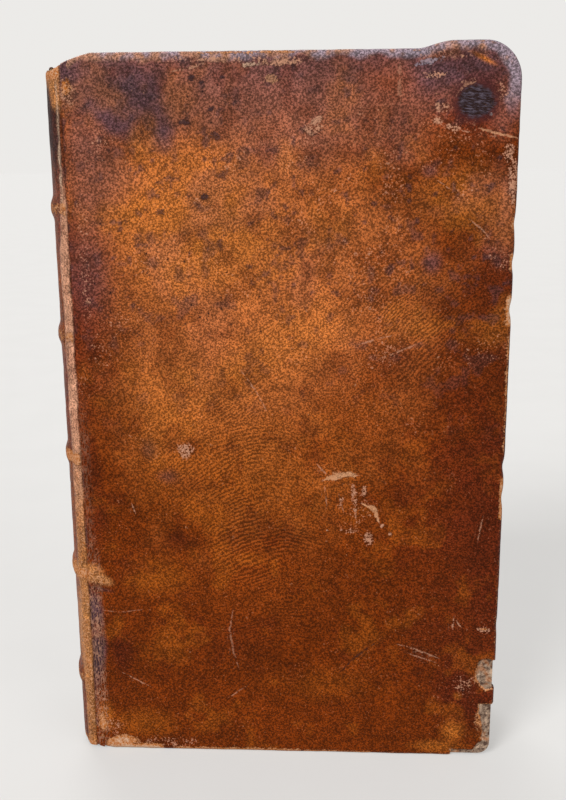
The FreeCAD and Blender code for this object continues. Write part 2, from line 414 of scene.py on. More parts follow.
@dataclass(frozen=True)
class Stain(Patch):
    """A soft tone of the hide, in full in its middle; edge is the share over which it fades."""

    strength: float
    colour: Colour = CALF.pink
    edge: float = 0.9
    turn: float = 0.0

    def mask(self, u: Array, v: Array, warp: Array) -> Array:
        """How much of this tone each place has."""
        reach = self.reach(u, v, self.turn) + EDGE_WANDER * warp
        return self.strength * smooth_step(1.0, 1.0 - self.edge, reach)


def each(kind: type, *rows: tuple) -> tuple:
    """One item of a kind for each row of its values."""
    return tuple(kind(*row) for row in rows)


def uncoloured(*rows: tuple[float, ...]) -> tuple[Stain, ...]:
    """Spots used for their shape alone, from rows of a stain's numbers."""
    return each(Stain, *((*row[:5], CALF.pink, *row[5:]) for row in rows))


# Stains of the hide with painted light in them: the amber and honey toward the head and the darker tones
# toward the tail are partly painted light from above, and the mauve ones near the head are painted sheen.
FRONT_STAINS_AND_PAINTED_LIGHT: tuple[Stain, ...] = each(
    Stain,
    (46, 150, 76, 96, 1.0, CALF.amber, 0.85),
    (36, 164, 32, 32, 0.5, CALF.honey),
    (58, 128, 30, 15, 0.35, CALF.honey, 0.9, 30),
    (24, 112, 22, 24, 0.3, CALF.honey),
    (46, 92, 60, 32, 0.55, CALF.orange),
    (122, 74, 38, 92, 0.92, CALF.maroon),
    (120, 154, 13, 30, 0.7, CALF.maroon),
    (0, 84, 26, 84, 0.75, CALF.oiled),
    (2, 136, 15, 38, 0.55, CALF.oxblood),
    (5, 150, 11, 26, 0.5, CALF.plum),
    (8, 178, 13, 20, 0.6, CALF.mauve_sheen),
    (82, 104, 28, 24, 0.65, CALF.russet),
    (52, 58, 46, 20, 0.4, CALF.russet),
    (20, 58, 14, 9, 0.6, CALF.orange),
    (24, 36, 8, 12, 0.45, CALF.orange, 0.9, 20),
    (44, 38, 24, 12, 0.25, CALF.maroon),
    (72, 24, 26, 9, 0.3, CALF.orange),
    (62, 198, 96, 20, 0.75, CALF.mauve_sheen),
    (62, 213, 90, 22, 0.7, CALF.plum, 0.75),
    (64, 186, 22, 16, 0.5, CALF.mauve_sheen),
    (88, 184, 16, 12, 0.35, CALF.mauve_sheen),
    (108, 171, 20, 12, 0.4, CALF.honey),
    (90, 160, 12, 9, 0.5, CALF.amber),
    (13, 199, 27, 14, 0.95, CALF.plum, 0.45, -25),
    (14, 198, 13, 8, 0.6, CALF.plum, 0.6, -20),
    (14, 200, 20, 10, 0.6, CALF.soot, 0.9, -25),
    (6, 185, 8, 9, 0.6, CALF.mauve_sheen),
    (2, 196, 4, 8, 0.6, CALF.soot),
    (105, 204, 26, 12, 0.85, CALF.plum, 0.7),
    (87, 200, 12, 8, 0.45, CALF.russet),
    (110, 192.5, 14, 10, 0.6, CALF.oxblood),
    (118, 190, 6, 10, 0.6, CALF.mauve_sheen),
    (108, 202.5, 12, 3, 0.5, CALF.soot),
    (21.5, 186, 5, 8, 0.5, CALF.honey, 0.85, -15),
    (120, 168, 3, 12, 0.7, CALF.mauve_sheen),
    (100, 152, 4, 5, 0.65, CALF.plum),
    (99, 176.5, 3.6, 2.6, 0.5, CALF.plum),
    (62, 160, 5, 9, 0.4, CALF.maroon),
    (73, 165, 4.2, 5, 0.4, CALF.maroon),
    (88, 122, 11, 12, 0.45, CALF.oiled),
    (20, 98, 3.4, 5, 0.5, CALF.soot),
    (32, 99, 5.4, 4.6, 0.75, CALF.maroon),
    (25, 90, 5, 3.5, 0.5, CALF.soot),
    (28, 70, 8, 4, 0.45, CALF.maroon),
    (48, 120, 12, 5, 0.35, CALF.orange, 0.9, 30),
    (82, 80, 13, 14, 0.5, CALF.oiled),
    (93, 84, 7, 7, 0.45, CALF.maroon),
    (2, 84, 5, 34, 0.6, CALF.maroon, 0.6),
    (0.6, 38, 4.4, 20, 0.9, CALF.plum, 0.45),
    (0.6, 38, 4.2, 19, 0.6, CALF.soot, 0.5),
    (9, 33, 5, 13, 0.75, CALF.maroon, 0.8),
    (14, 9, 15, 7, 0.6, CALF.orange),
    (121, 163, 6, 14, 0.6, CALF.maroon),
    (3, 12, 4, 8, 0.6, CALF.rust),
    (0, 59.2, 5.6, 4.2, 0.9, CALF.tan, 0.5),
    (4.6, 57.3, 4.6, 2, 0.85, CALF.tan, 0.7, -28),
    (3.2, 54.2, 5.4, 0.9, 0.7, CALF.soot, 0.9, -12),
    (115, 24, 14, 18, 0.95, CALF.maroon, 0.7),
    (110.5, 8.5, 5.5, 6, 0.75, CALF.rust),
    (113, 14, 4.6, 2.6, 0.6, CALF.maroon, 0.9, 40),
    (106, 3.4, 14, 3.2, 0.6, CALF.rust),
    (111.5, 20.6, 1.8, 1.6, 0.4, CALF.rust, 0.9, -45),
    (112.4, 205.2, 5.6, 1, 0.85, CALF.rust, 0.9, -27),
    (93, 206.2, 2.6, 1.7, 0.9, CALF.black, 0.5),
    (98, 205.4, 3.8, 1.3, 0.9, CALF.mauve_sheen, 0.5, 6),
)

BACK_STAINS_AND_SHEEN: tuple[Stain, ...] = each(
    Stain,
    (48, 128, 66, 84, 0.7, CALF.amber),
    (40, 80, 34, 30, 0.5, CALF.orange),
    (122, 104, 30, 130, 0.8, CALF.maroon),
    # Painted sheen along the head, over the hide's tone.
    (60, 210, 100, 26, 0.8, CALF.mauve_sheen),
    (4, 100, 9, 120, 0.6, CALF.maroon),
    (84, 150, 8, 6, 0.45, CALF.soot),
    (30, 165, 6, 9, 0.5, CALF.maroon),
    (70, 60, 14, 8, 0.5, CALF.russet, 0.9, 30),
    (52, 108, 5, 4, 0.4, CALF.soot),
    (96, 40, 12, 9, 0.5, CALF.maroon),
)

SPINE_STAINS_AND_SHADE: tuple[Stain, ...] = each(
    Stain,
    (0, 100, 16, 140, 0.7, CALF.russet),
    # Darker oxblood down both sides of the back: painted shade where the back turns away, over the hide's own
    # tone.
    (-18, 130, 10, 46, 0.95, CALF.oxblood, 0.5),
    (18, 110, 10, 90, 0.7, CALF.oxblood, 0.5),
    (-20, 38, 12, 19, 0.85, CALF.tan, 0.5),
    (-20, 59.2, 12, 4, 0.9, CALF.tan, 0.5),
    (2, 74, 11, 20, 0.5, CALF.orange),
    (0, 190, 34, 22, 0.9, CALF.black, 0.5),
    (0, 203, 34, 5, 0.7, CALF.tan, 0.6),
    (-21, 200, 8, 8, 0.85, CALF.tan, 0.5),
    (0, 4, 34, 14, 0.8, CALF.maroon),
)

CRUMBS: tuple[Stain, ...] = uncoloured(
    (84, 71.4, 2.4, 3.8, 0.9, 0.5),
    (78.6, 73.7, 4.4, 1, 0.8, 0.5),
    (79.6, 84, 1.1, 6.4, 0.8, 0.5, 4),
    (75.6, 82.4, 0.8, 3.4, 0.8, 0.5, -12),
    (82.4, 86, 1.1, 2.6, 0.85, 0.5),
    (81, 79, 9, 12, 0.4),
    (67.6, 188.2, 4, 3.4, 0.85),
    (99.2, 201.2, 5.4, 1.9, 0.75, 0.6),
    (102, 193, 4.2, 1.7, 0.8, 0.6),
    (101, 189.6, 2.4, 1.4, 0.9, 0.5),
    (104.6, 188, 2.8, 1.4, 0.9, 0.5, -20),
    (104, 186, 6, 4, 0.4),
    (117.3, 196.4, 4, 4.4, 0.65),
    (108.4, 199.4, 5, 1.6, 0.8, 0.9, 10),
    (113.7, 176.2, 2.8, 2.6, 0.6),
    (119.8, 181.4, 2.4, 3.8, 0.8, 0.5),
    (121.4, 174, 1.8, 8.4, 0.9, 0.5),
    (44, 206, 34, 2, 0.7),
    (60, 205.2, 11, 2.2, 0.9),
    (104, 206.4, 16, 2, 0.6),
    (9, 184, 8, 9, 0.42),
    (1, 198, 4, 6, 0.9),
    (4, 152, 3, 34, 0.5),
    (88, 126, 12, 9, 0.45, 0.9, 30),
    (30.6, 98, 3.6, 3.8, 0.9, 0.6),
    (113.5, 24, 6, 6, 0.7),
    (118.6, 42.6, 3.6, 1.1, 1.0, 0.5, -12),
    (5, 8, 7, 6, 0.6),
    (20, 3, 24, 3.4, 0.6),
)

WORN_SPOTS: tuple[Stain, ...] = uncoloured(
    (1.2, 199, 3, 5, 0.68),
    (2, 9, 3, 8, 0.8),
    (8, 3.2, 8, 3.4, 0.9),
    (120.6, 16.5, 2.6, 3, 0.8),
    (115.4, 24.6, 1.8, 2.6, 0.4),
    (118, 12, 3, 7, 0.6),
    (118.2, 42.8, 2.4, 0.8, 0.85),
)


@dataclass(frozen=True)
class CalfFinish:
    """Old polished calf: its grain, pores, flowing wrinkles, craquelure and rubbed edges, with painted glints
    and painted light on the wrinkles.

    The mesh carries the tone of the hide with its painted sheen, how rubbed, cracked and speckled each place
    is, the run of its wrinkles and their painted glints, and how far each place is from the nearest scuffs
    and scratches.
    """

    name: str = "calf"
    grain: float = 0.48
    wrinkle: float = 0.98
    relief: float = 0.26

    def material(self) -> Material:
        """Builds the material."""
        mix = Recipe(self.name)
        rubbed, cracked, specks = mix.parts("marks")
        phase, folded, glints_and_crumbs = mix.parts("flow")
        fine = mix.noise(self.grain, 3.0, 0.66)
        torn = mix.noise(1.5, 4.0, 0.74)
        turn = mix.times(mix.total((phase, 1.0), (torn, 1.6)), 2.0 * math.pi / self.wrinkle)
        ridge = mix.times(mix.math("SINE", turn), folded)
        # Wrinkles painted lighter on their crests and darker in their troughs: painted light and shade over
        # the relief, on top of the grain's own flecks.
        crest = mix.total((fine, 1.0), (ridge, 0.095))

        shade = mix.span(crest, 0.4, 0.64, 0.48, 1.8)
        colour = mix.vector("SCALE", mix.attribute("tone").outputs["Color"], scale=shade)
        # Light pink flecks: painted glints in the grain, and crumbs where the hide has flaked.
        crumb = mix.total((torn, 0.35), (fine, 0.65), (glints_and_crumbs, 0.19))
        colour = mix.mix(mix.span(crumb, 0.63, 0.7, 0.0, 0.9), colour, CALF.pink)
        colour = self.pored(mix, colour, specks)
        colour = self.crazed(mix, colour, mix.times(cracked, mix.span(torn, 0.38, 0.58, 0.2, 1.0)))
        colour = self.burnt(mix, colour, torn)
        colour, flaked = self.scuffed(mix, colour, torn, fine)
        colour = self.scored(mix, colour, torn, fine)
        colour, worn = self.worn(mix, colour, rubbed, torn, fine)

        bare = mix.math("MAXIMUM", worn, flaked)
        height = mix.total((fine, 1.0), (ridge, 0.16), (mix.times(bare, torn), 1.2))
        rough = mix.total((mix.span(torn, 0.3, 0.7, 0.36, 0.52), 1.0), (bare, 0.35))
        mix.shader.inputs["Specular Tint"].default_value = (1.0, 0.56, 0.3, 1.0)
        return mix.finish(colour, rough, mix.bump(height, self.relief), specular=0.12)

    def pored(self, mix: Recipe, colour: object, amount: object) -> object:
        """Adds sharp dark pits, here and there."""
        cells = mix.cells(2.1)
        few = mix.node("ShaderNodeSeparateXYZ")
        mix.put(few.inputs[0], cells.outputs["Color"])
        spot = mix.times(mix.span(cells.outputs["Distance"], 0.21, 0.1), amount,
                         mix.span(few.outputs[0], 0.6, 0.64))
        return mix.mix(spot, colour, CALF.black)

    def crazed(self, mix: Recipe, colour: object, amount: object) -> object:
        """Adds the fine light cracks of a flexed and dried hide."""
        drift = mix.node("ShaderNodeTexNoise")
        mix.put(drift.inputs["Vector"], mix.place)
        drift.inputs["Scale"].default_value = 0.7
        warped = mix.vector("ADD", mix.stretched((1.0, 1.0, 0.22)),
                            mix.vector("SCALE", drift.outputs["Color"], scale=1.1))
        crack = mix.span(mix.cells(0.7, "DISTANCE_TO_EDGE", at=warped).outputs["Distance"], 0.16, 0.05)
        return mix.mix(mix.times(crack, amount, 0.7), colour, CALF.pink)

    def worn(self, mix: Recipe, colour: object, rubbed: object, torn: object,
             fine: object) -> tuple[object, object]:
        """Bares the tan flesh of the hide where it is rubbed, in ragged flecks."""
        ragged = mix.total((torn, 0.9), (fine, 0.5), (rubbed, 0.78))
        mask = mix.span(ragged, 0.98, 1.18, 0.0, 0.94)
        flesh = mix.mix(mix.span(fine, 0.38, 0.62), CALF.rust, CALF.bare)
        flesh = mix.mix(mix.span(ragged, 1.28, 1.56, 0.0, 0.8), flesh, CALF.pale)
        return mix.mix(mask, colour, flesh), mask

    def scuffed(self, mix: Recipe, colour: object, torn: object, fine: object) -> tuple[object, object]:
        """Adds the scuffs and flakes that the mesh marks, torn and broken.

        Returns:
            The colour, and how much of a scuff each place has.
        """
        inside, strength, ragged = mix.parts("scuff")
        rough = mix.math("SUBTRACT", mix.total((torn, 1.0), (fine, 0.6)), 0.8)
        mask = mix.span(mix.math("ADD", inside, mix.times(rough, ragged)), -0.05, 0.25)
        mask = mix.times(mask, strength, mix.span(fine, 0.34, 0.5, 0.3, 1.0))
        return mix.mix(mask, colour, mix.attribute("scuff_tone").outputs["Color"]), mask

    def scored(self, mix: Recipe, colour: object, torn: object, fine: object) -> object:
        """Adds the scratches, broken along their length; the deepest show the tan flesh."""
        breaks = mix.span(mix.total((torn, 1.0), (fine, 0.6)), 0.7, 0.86)
        sway = mix.times(mix.math("SUBTRACT", torn, 0.5), 4.0)
        for channel in SCRATCH_CHANNELS:
            away, strength, dark = mix.parts(channel)
            line = mix.span(mix.math("ABSOLUTE", mix.math("ADD", away, sway)), 1.0, 0.4)
            whole = mix.math("MAXIMUM", breaks, mix.span(strength, 0.75, 0.9, 0.0, 0.8))
            light = mix.mix(mix.span(strength, 0.75, 0.9), CALF.pink, CALF.bare)
            colour = mix.mix(mix.times(line, whole, strength), colour, mix.mix(dark, light, CALF.black))
        return colour

    def burnt(self, mix: Recipe, colour: object, torn: object) -> object:
        """The round scorch near the head corner: sooty, streaked across, dark red at its rim."""
        inner = mix.attribute("burn").outputs["Fac"]
        inner = mix.total((inner, 1.0), (mix.math("SUBTRACT", torn, 0.5), 0.55))
        halo = mix.span(inner, 0.36, 1.0, 0.0, 0.85)
        core = mix.span(inner, 0.9, 1.2, 0.0, 0.96)
        streak = mix.noise(0.8, 3.0, 0.65, at=mix.stretched((0.5, 1.0, 3.2), turn=-8.0))
        sooty = mix.mix(mix.span(streak, 0.44, 0.62), CALF.black, CALF.ash)
        sooty = mix.mix(mix.span(streak, 0.6, 0.72, 0.0, 0.35), sooty, CALF.grey)
        return mix.mix(core, mix.mix(halo, colour, CALF.scorched), sooty)


FRONT_SCRATCHES: tuple[Scratch, ...] = each(
    Scratch,
    (((71, 89.3), (75.5, 90.7), (79.8, 90.7)), 1.1, 1),
    (((82, 82.1), (85.3, 80.6), (86.8, 76.6)), 0.7, 1),
    (((80, 80.5), (80.1, 77.4)), 0.4, 0.5),
    (((75.2, 84.8), (75.7, 82.3), (76.5, 79.6)), 0.36, 0.6),
    (((71, 87.2), (71.6, 81.6)), 0.42, 0.5),
    (((68.8, 94), (71.5, 91.1)), 0.36, 0.6),
    (((30.2, 202.9), (36, 204), (41.5, 205.8)), 0.42, 0.65),
    (((111.6, 187.5), (122.2, 184.8)), 0.44, 0.85),
    (((90.5, 203.9), (90.7, 194.3)), 0.8, 0.3),
    (((23.8, 189.9), (25.2, 185.8), (28.2, 181.3)), 0.45, -0.75),
    (((105.6, 196), (107.4, 198.5), (110.2, 199.4)), 0.5, 0.5),
    (((106.3, 187), (109.6, 186.6)), 0.3, 0.65),
    (((101.3, 174), (104.4, 171.9)), 0.3, 0.6),
    (((110.2, 163.6), (113.4, 161.2), (115.4, 158.8)), 0.3, 0.6),
    (((80.4, 129.2), (84.5, 130.6), (90.2, 131.9)), 0.36, 0.55),
    (((86.7, 125.4), (97.5, 129.7)), 0.34, 0.45),
    (((117, 78.4), (115.6, 70.4)), 0.3, 0.55),
    (((47.2, 121.6), (50.8, 116.6), (54.2, 110.2)), 0.34, 0.6),
    (((14.2, 81.3), (15.1, 78.4)), 0.34, 0.65),
    (((4, 47.2), (9, 46.6), (15.8, 47.6)), 0.28, 0.4),
    (((43.6, 48.8), (42.4, 41.3), (43.4, 34), (44.9, 28.7)), 0.4, 0.42),
    (((41.4, 18.5), (47.4, 22.8)), 0.3, 0.5),
    (((75.6, 27.8), (81, 33.8), (87, 38.4)), 0.5, -0.75),
    (((109.6, 46.7), (109.2, 41.8)), 0.34, 0.7),
    (((110.5, 45.4), (111.8, 43.5)), 0.3, 0.7),
    (((93, 37.5), (99, 35.8), (105.4, 33.2)), 0.4, 0.6),
    (((95.6, 34.8), (104.4, 31.8)), 0.34, 0.55),
    (((9, 26.5), (17.6, 21.8)), 0.3, 0.6),
    (((98.6, 150.4), (94, 141.9)), 0.4, -0.5),
)

FRONT_SCUFFS: tuple[Scuff, ...] = each(
    Scuff,
    (77.4, 90.9, 2.5, 0.95, 1.0, CALF.bare, 10, 0.6),
    (85.4, 80.6, 1.5, 0.7, 0.95, CALF.bare, -48, 0.6),
    (80, 80.3, 0.6, 0.8, 0.9),
    (87.9, 75.4, 0.8, 0.65, 0.95, CALF.pink, 30),
    (90, 72.7, 1.1, 0.75, 0.95, CALF.pink, -30),
    (71.8, 73.7, 0.4, 0.4, 0.95, CALF.pale, 0, 0.2),
    (88, 88.8, 0.9, 0.4, 0.6, CALF.pink, -35),
    (68.7, 189.9, 1.7, 0.9, 0.8, CALF.pink, 35),
    (66.4, 187, 1.6, 0.7, 0.75, CALF.pink, -35),
    (114.7, 191.1, 0.5, 0.45, 1.0, CALF.frost, 0, 0.2),
    (56.3, 200.6, 1.8, 1.2, 0.5, CALF.bare),
    (51, 204.3, 2.2, 0.7, 0.6, CALF.pale),
    (58.4, 204.9, 4.2, 0.9, 0.75),
    (42, 205.6, 4.4, 0.7, 0.5),
    (98.4, 204.8, 3, 0.6, 0.7, CALF.grey, 14, 1.4),
    (113.1, 22.5, 0.5, 0.5, 0.9, CALF.black, 0, 0.3),
    (119.2, 13, 1, 3.6, 0.6, CALF.tan, 8),
    (58.2, 144.3, 0.45, 0.45, 0.95, CALF.black, 0, 0.2),
    (43.6, 149.6, 0.4, 0.4, 0.9, CALF.black, 0, 0.2),
    (42.8, 180.9, 0.4, 0.4, 0.95, CALF.black, 0, 0.2),
    (65.7, 138.7, 0.45, 0.4, 0.95, CALF.pale, 0, 0.2),
    (35.2, 201.2, 0.9, 0.7, 0.9, CALF.soot),
    (37.9, 200, 0.7, 0.5, 0.9, CALF.soot),
    (43.5, 201.3, 0.8, 0.5, 0.85, CALF.soot),
    (40.4, 193.1, 1.1, 0.6, 0.9, CALF.soot, 30),
    (33, 189.8, 1.3, 0.7, 0.85, CALF.soot),
    (41.3, 186.2, 1.5, 0.9, 0.75, CALF.soot, -20),
    (37.9, 170.1, 1, 0.9, 0.9, CALF.soot),
    (25.4, 166.1, 1.3, 0.8, 0.7, CALF.soot),
    (43, 176, 2, 0.9, 0.6, CALF.soot, 20),
    (42, 157, 0.9, 1.6, 0.65, CALF.soot),
)


@dataclass(frozen=True)
class BoardFinish:
    """Pasteboard laid bare: brown and grey clumps of fibres with pale torn crests."""

    name: str = "worn_pasteboard"
    light: Colour = (0.4, 0.28, 0.195)
    dark: Colour = (0.07, 0.036, 0.024)

    def material(self) -> Material:
        """Builds the material."""
        mix = Recipe(self.name)
        fibres = mix.noise(0.8, 5.0, 0.74, at=mix.stretched((0.6, 2.0, 1.1), turn=28.0))
        clumps = mix.noise(1.9, 4.0, 0.66)
        blend = mix.total((fibres, 0.6), (clumps, 0.5))
        colour = mix.mix(mix.span(blend, 0.46, 0.66), self.dark, self.light)
        colour = mix.mix(mix.span(clumps, 0.56, 0.66, 0.0, 0.6), colour, CALF.pale)
        colour = mix.mix(mix.span(mix.noise(3.4, 3.0), 0.52, 0.68, 0.0, 0.45), colour, CALF.rust)
        return mix.finish(colour, 0.92, mix.bump(blend, 0.45), specular=0.2)


@dataclass(frozen=True)
class LeafFinish:
    """The edges of old rag paper leaves: fine lines along each edge, toned and dusty."""

    name: str = "leaf_edges"
    paper: Colour = (0.56, 0.42, 0.25)
    dust: Colour = (0.215, 0.125, 0.058)
    foxed: Colour = (0.26, 0.13, 0.05)
    leaf: float = 0.11

    def material(self) -> Material:
        """Builds the material; the lines lie across Y at the leaves' own pitch."""
        mix = Recipe(self.name)
        lines = mix.noise(1.0, 3.0, 0.8, at=mix.stretched((0.02, 1.0 / self.leaf / 2.0, 0.02)))
        thick = mix.noise(1.0, 2.0, 0.6, at=mix.stretched((0.03, 1.4, 0.03)))
        foxing = mix.noise(7.0, 4.0, 0.65)
        colour = mix.mix(mix.span(lines, 0.32, 0.62), self.dust, self.paper)
        colour = mix.mix(mix.span(thick, 0.35, 0.6, 0.55, 0.0), colour, self.dust)
        colour = mix.mix(mix.span(foxing, 0.52, 0.72, 0.0, 0.45), colour, self.foxed)
        height = mix.total((lines, 1.0), (thick, 0.8))
        return mix.finish(colour, 0.88, mix.bump(height, 0.12), specular=0.25)


@dataclass(frozen=True)
class PaperFinish:
    """A toned endpaper: foxing spots and a browned margin."""

    name: str = "endpaper"
    paper: Colour = (0.61, 0.48, 0.31)
    brown: Colour = (0.3, 0.17, 0.075)

    def material(self, low: Sequence[float], high: Sequence[float]) -> Material:
        """Builds the material.

        Args:
            low: the sheet's low x and z in millimetres.
            high: its high x and z.
        """
        mix = Recipe(self.name)
        axes = mix.node("ShaderNodeSeparateXYZ")
        mix.put(axes.inputs[0], mix.place)
        edges = []
        for axis, start, end in ((0, low[0], high[0]), (2, low[1], high[1])):
            near = mix.math("SUBTRACT", axes.outputs[axis], start)
            far = mix.math("SUBTRACT", end, axes.outputs[axis])
            edges.append(mix.math("MINIMUM", near, far))
        edge = mix.math("MINIMUM", *edges)
        margin = mix.span(mix.total((edge, 1.0), (mix.noise(9.0, 5.0, 0.65), -16.0)), 4.0, -8.0)
        colour = mix.mix(mix.times(margin, 0.7), self.paper, self.brown)
        fox_marks = mix.times(mix.span(mix.cells(6.5).outputs["Distance"], 0.22, 0.05),
                              mix.span(mix.noise(22.0, 2.0), 0.48, 0.6), 0.55)
        colour = mix.mix(fox_marks, colour, self.brown)
        fibre = mix.noise(0.5, 4.0, 0.7)
        colour = mix.mix(mix.span(fibre, 0.35, 0.65, 0.16, 0.0), colour, self.brown)
        return mix.finish(colour, 0.85, mix.bump(fibre, 0.05), specular=0.25)


@dataclass(frozen=True)
class ThreadFinish:
    """Twisted thread or cord, browned with age; the twist follows the place."""

    name: str
    light: Colour
    dark: Colour
    pitch: float = 0.5
    dye: Colour = (0.12, 0.04, 0.028)

    def material(self) -> Material:
        """Builds the material."""
        mix = Recipe(self.name)
        twist = mix.node("ShaderNodeTexWave", bands_direction="DIAGONAL")
        mix.put(twist.inputs["Vector"], mix.place)
        twist.inputs["Scale"].default_value = 1.0 / self.pitch / 3.6
        twist.inputs["Distortion"].default_value = 1.2
        fuzz = mix.noise(0.3, 4.0, 0.7)
        blend = mix.total((twist.outputs[1], 0.5), (fuzz, 0.6))
        light = mix.mix(mix.attribute("dyed").outputs["Fac"], self.light, self.dye)
        colour = mix.mix(mix.span(blend, 0.25, 0.8), self.dark, light)
        return mix.finish(colour, 0.85, mix.bump(blend, 0.12), specular=0.2)


def new_object(name: str, mesh: bpy.types.Mesh, material: Material,
               smooth: bool = True) -> Piece:
    """Puts a mesh into the scene at the origin, with its material."""
    mesh.materials.clear()
    mesh.materials.append(material)
    if smooth:
        mesh.shade_smooth()
    else:
        mesh.shade_flat()
    made = bpy.data.objects.new(name, mesh)
    bpy.context.scene.collection.objects.link(made)
    return made


@dataclass
class Patchwork:
    """A mesh grown from grids of points, with the hide's tone and marks on each point."""

    points: list[Array] = field(default_factory=list)
    faces: list[Array] = field(default_factory=list)
    count: int = 0

    def add_points(self, points: Array) -> Array:
        """Adds an array of points in millimetres and gives their numbers in the same shape."""
        shape = points.shape[:-1]
        numbers = np.arange(int(np.prod(shape))).reshape(shape) + self.count
        self.points.append(points.reshape(-1, 3))
        self.count += numbers.size
        return numbers

    def add_faces(self, numbers: Array, flip: bool = False) -> None:
        """Adds the quads between the points of a (rows, columns) array of numbers."""
        quads = np.stack([numbers[:-1, :-1], numbers[:-1, 1:], numbers[1:, 1:], numbers[1:, :-1]], axis=-1)
        quads = quads.reshape(-1, 4)
        self.faces.append(quads[:, ::-1] if flip else quads)

    def add_grid(self, grid: Array, flip: bool = False) -> Array:
        """Adds a (rows, columns, 3) grid of points and its quads, and gives the numbers."""
        numbers = self.add_points(grid)
        self.add_faces(numbers, flip)
        return numbers

    def add_shell(self, outer: Array, inner: Array, flip: bool = False) -> None:
        """Adds a closed skin between two grids that lie one under the other.

        Args:
            outer: a (rows, columns, 3) array.
            inner: the other side, with the same shape.
            flip: turns the faces round.
        """
        grid = self.add_points(np.concatenate([outer, inner[:, ::-1]], axis=1))
        self.add_faces(np.concatenate([grid, grid[:, :1]], axis=1), flip)
        half = outer.shape[1]
        for row, turn in ((grid[0], not flip), (grid[-1], flip)):
            self.add_faces(np.stack([row[:half], row[:half - 1:-1]]), turn)

    def mesh(self, name: str) -> bpy.types.Mesh:
        """Makes the mesh, with its points turned into metres."""
        made = bpy.data.meshes.new(name)
        places = np.concatenate(self.points) * MM
        made.from_pydata(places.tolist(), [], np.concatenate(self.faces).tolist())
        made.validate()
        made.update()
        return made


def paint(mesh: bpy.types.Mesh, tone: Array, marks: Array,
          fields: dict[str, Array] | None = None) -> None:
    """Stores the tone, the marks and the other fields of each point as attributes.

    Args:
        mesh: the mesh to paint.
        tone: colours, one for each point.
        marks: how rubbed, cracked and speckled each point is.
        fields: more attributes by name, of one or three numbers for each point.
    """
    layer = mesh.color_attributes.new("tone", "FLOAT_COLOR", "POINT")
    layer.data.foreach_set("color", np.column_stack([tone, np.ones(len(tone))]).astype(np.float32).ravel())
    fields = dict(fields or {}, marks=marks)
    for name, values in fields.items():
        wide = values.ndim == 2
        layer = mesh.attributes.new(name, "FLOAT_VECTOR" if wide else "FLOAT", "POINT")
        layer.data.foreach_set("vector" if wide else "value", values.astype(np.float32).ravel())


def scuff_fields(u: Array, v: Array, scuffs: Sequence[Scuff]) -> dict[str, Array]:
    """How deep inside the nearest scuff each place is, and that scuff's colour and strength.

    Args:
        u: distance from the joint.
        v: height above the tail.
        scuffs: the scuffs on this cover.
    """
    shape = np.tile([-4.0, 0.0, 0.0], (len(u), 1))
    tone = np.tile(CALF.bare, (len(u), 1))
    for scuff in scuffs:
        small = min(scuff.wide, scuff.high)
        inside = (1.0 - scuff.reach(u, v, scuff.turn)) * small
        better = (inside > shape[:, 0]) & (inside > -2.0)
        shape[better, 0] = inside[better]
        shape[better, 1:] = scuff.strength, scuff.ragged * 3.4 * min(1.0, small)
        tone[better] = scuff.colour
    return {"scuff": shape, "scuff_tone": tone}


def scratch_fields(u: Array, v: Array, scratches: Sequence[Scratch], window: float) -> dict[str, Array]:
    """How far each place is from the nearest scratch, in several channels.

    The distance is signed and runs straight across a scratch, so that a mesh coarser than the
    scratch still draws it sharp. Scratches near one another go into different channels.

    Args:
        u: distance from the joint.
        v: height above the tail.
        scratches: the scratches on this cover.
        window: how far from a scratch its channel is taken up, in millimetres.
    """
    fields = {name: np.zeros((len(u), 3)) for name in SCRATCH_CHANNELS}
    nearest = {name: np.full(len(u), 99.0) for name in SCRATCH_CHANNELS}
    for number, scratch in enumerate(scratches):
        name = SCRATCH_CHANNELS[number % len(SCRATCH_CHANNELS)]
        points = np.array(scratch.points)
        lengths = np.hypot(*np.diff(points, axis=0).T)
        reach = max(window, scratch.width * 1.3)
        done = 0.0
        for start, end, length in zip(points, points[1:], lengths):
            run = (end - start) / length
            along = (u - start[0]) * run[0] + (v - start[1]) * run[1]
            signed = (v - start[1]) * run[0] - (u - start[0]) * run[1]
            share = unit((done + along) / lengths.sum())
            width = scratch.width * (0.3 + 0.7 * (4.0 * share * (1.0 - share)) ** 0.7)
            past = np.maximum(np.maximum(-along, along - length), 0.0)
            away = np.hypot(signed, past)
            better = (away < nearest[name]) & (away < reach * 2.0)
            weight = abs(scratch.strength) * smooth_step(reach * 2.0, reach * 1.3, np.abs(signed)) \
                * smooth_step(reach, 0.0, past)
            value = np.column_stack([signed / width, weight, np.full(len(u), float(scratch.strength < 0))])
            fields[name][better] = value[better]
            nearest[name][better] = away[better]
            done += length
    return fields


def burn_field(u: Array, v: Array) -> Array:
    """Rises from 0 far away to 2 at the middle of the scorch, and is 1 at its rim."""
    reach = np.hypot((u - BURN_PLACE[0]) / BURN_RADII[0], (v - BURN_PLACE[1]) / BURN_RADII[1])
    return np.clip(2.0 - reach, 0.0, 2.0)


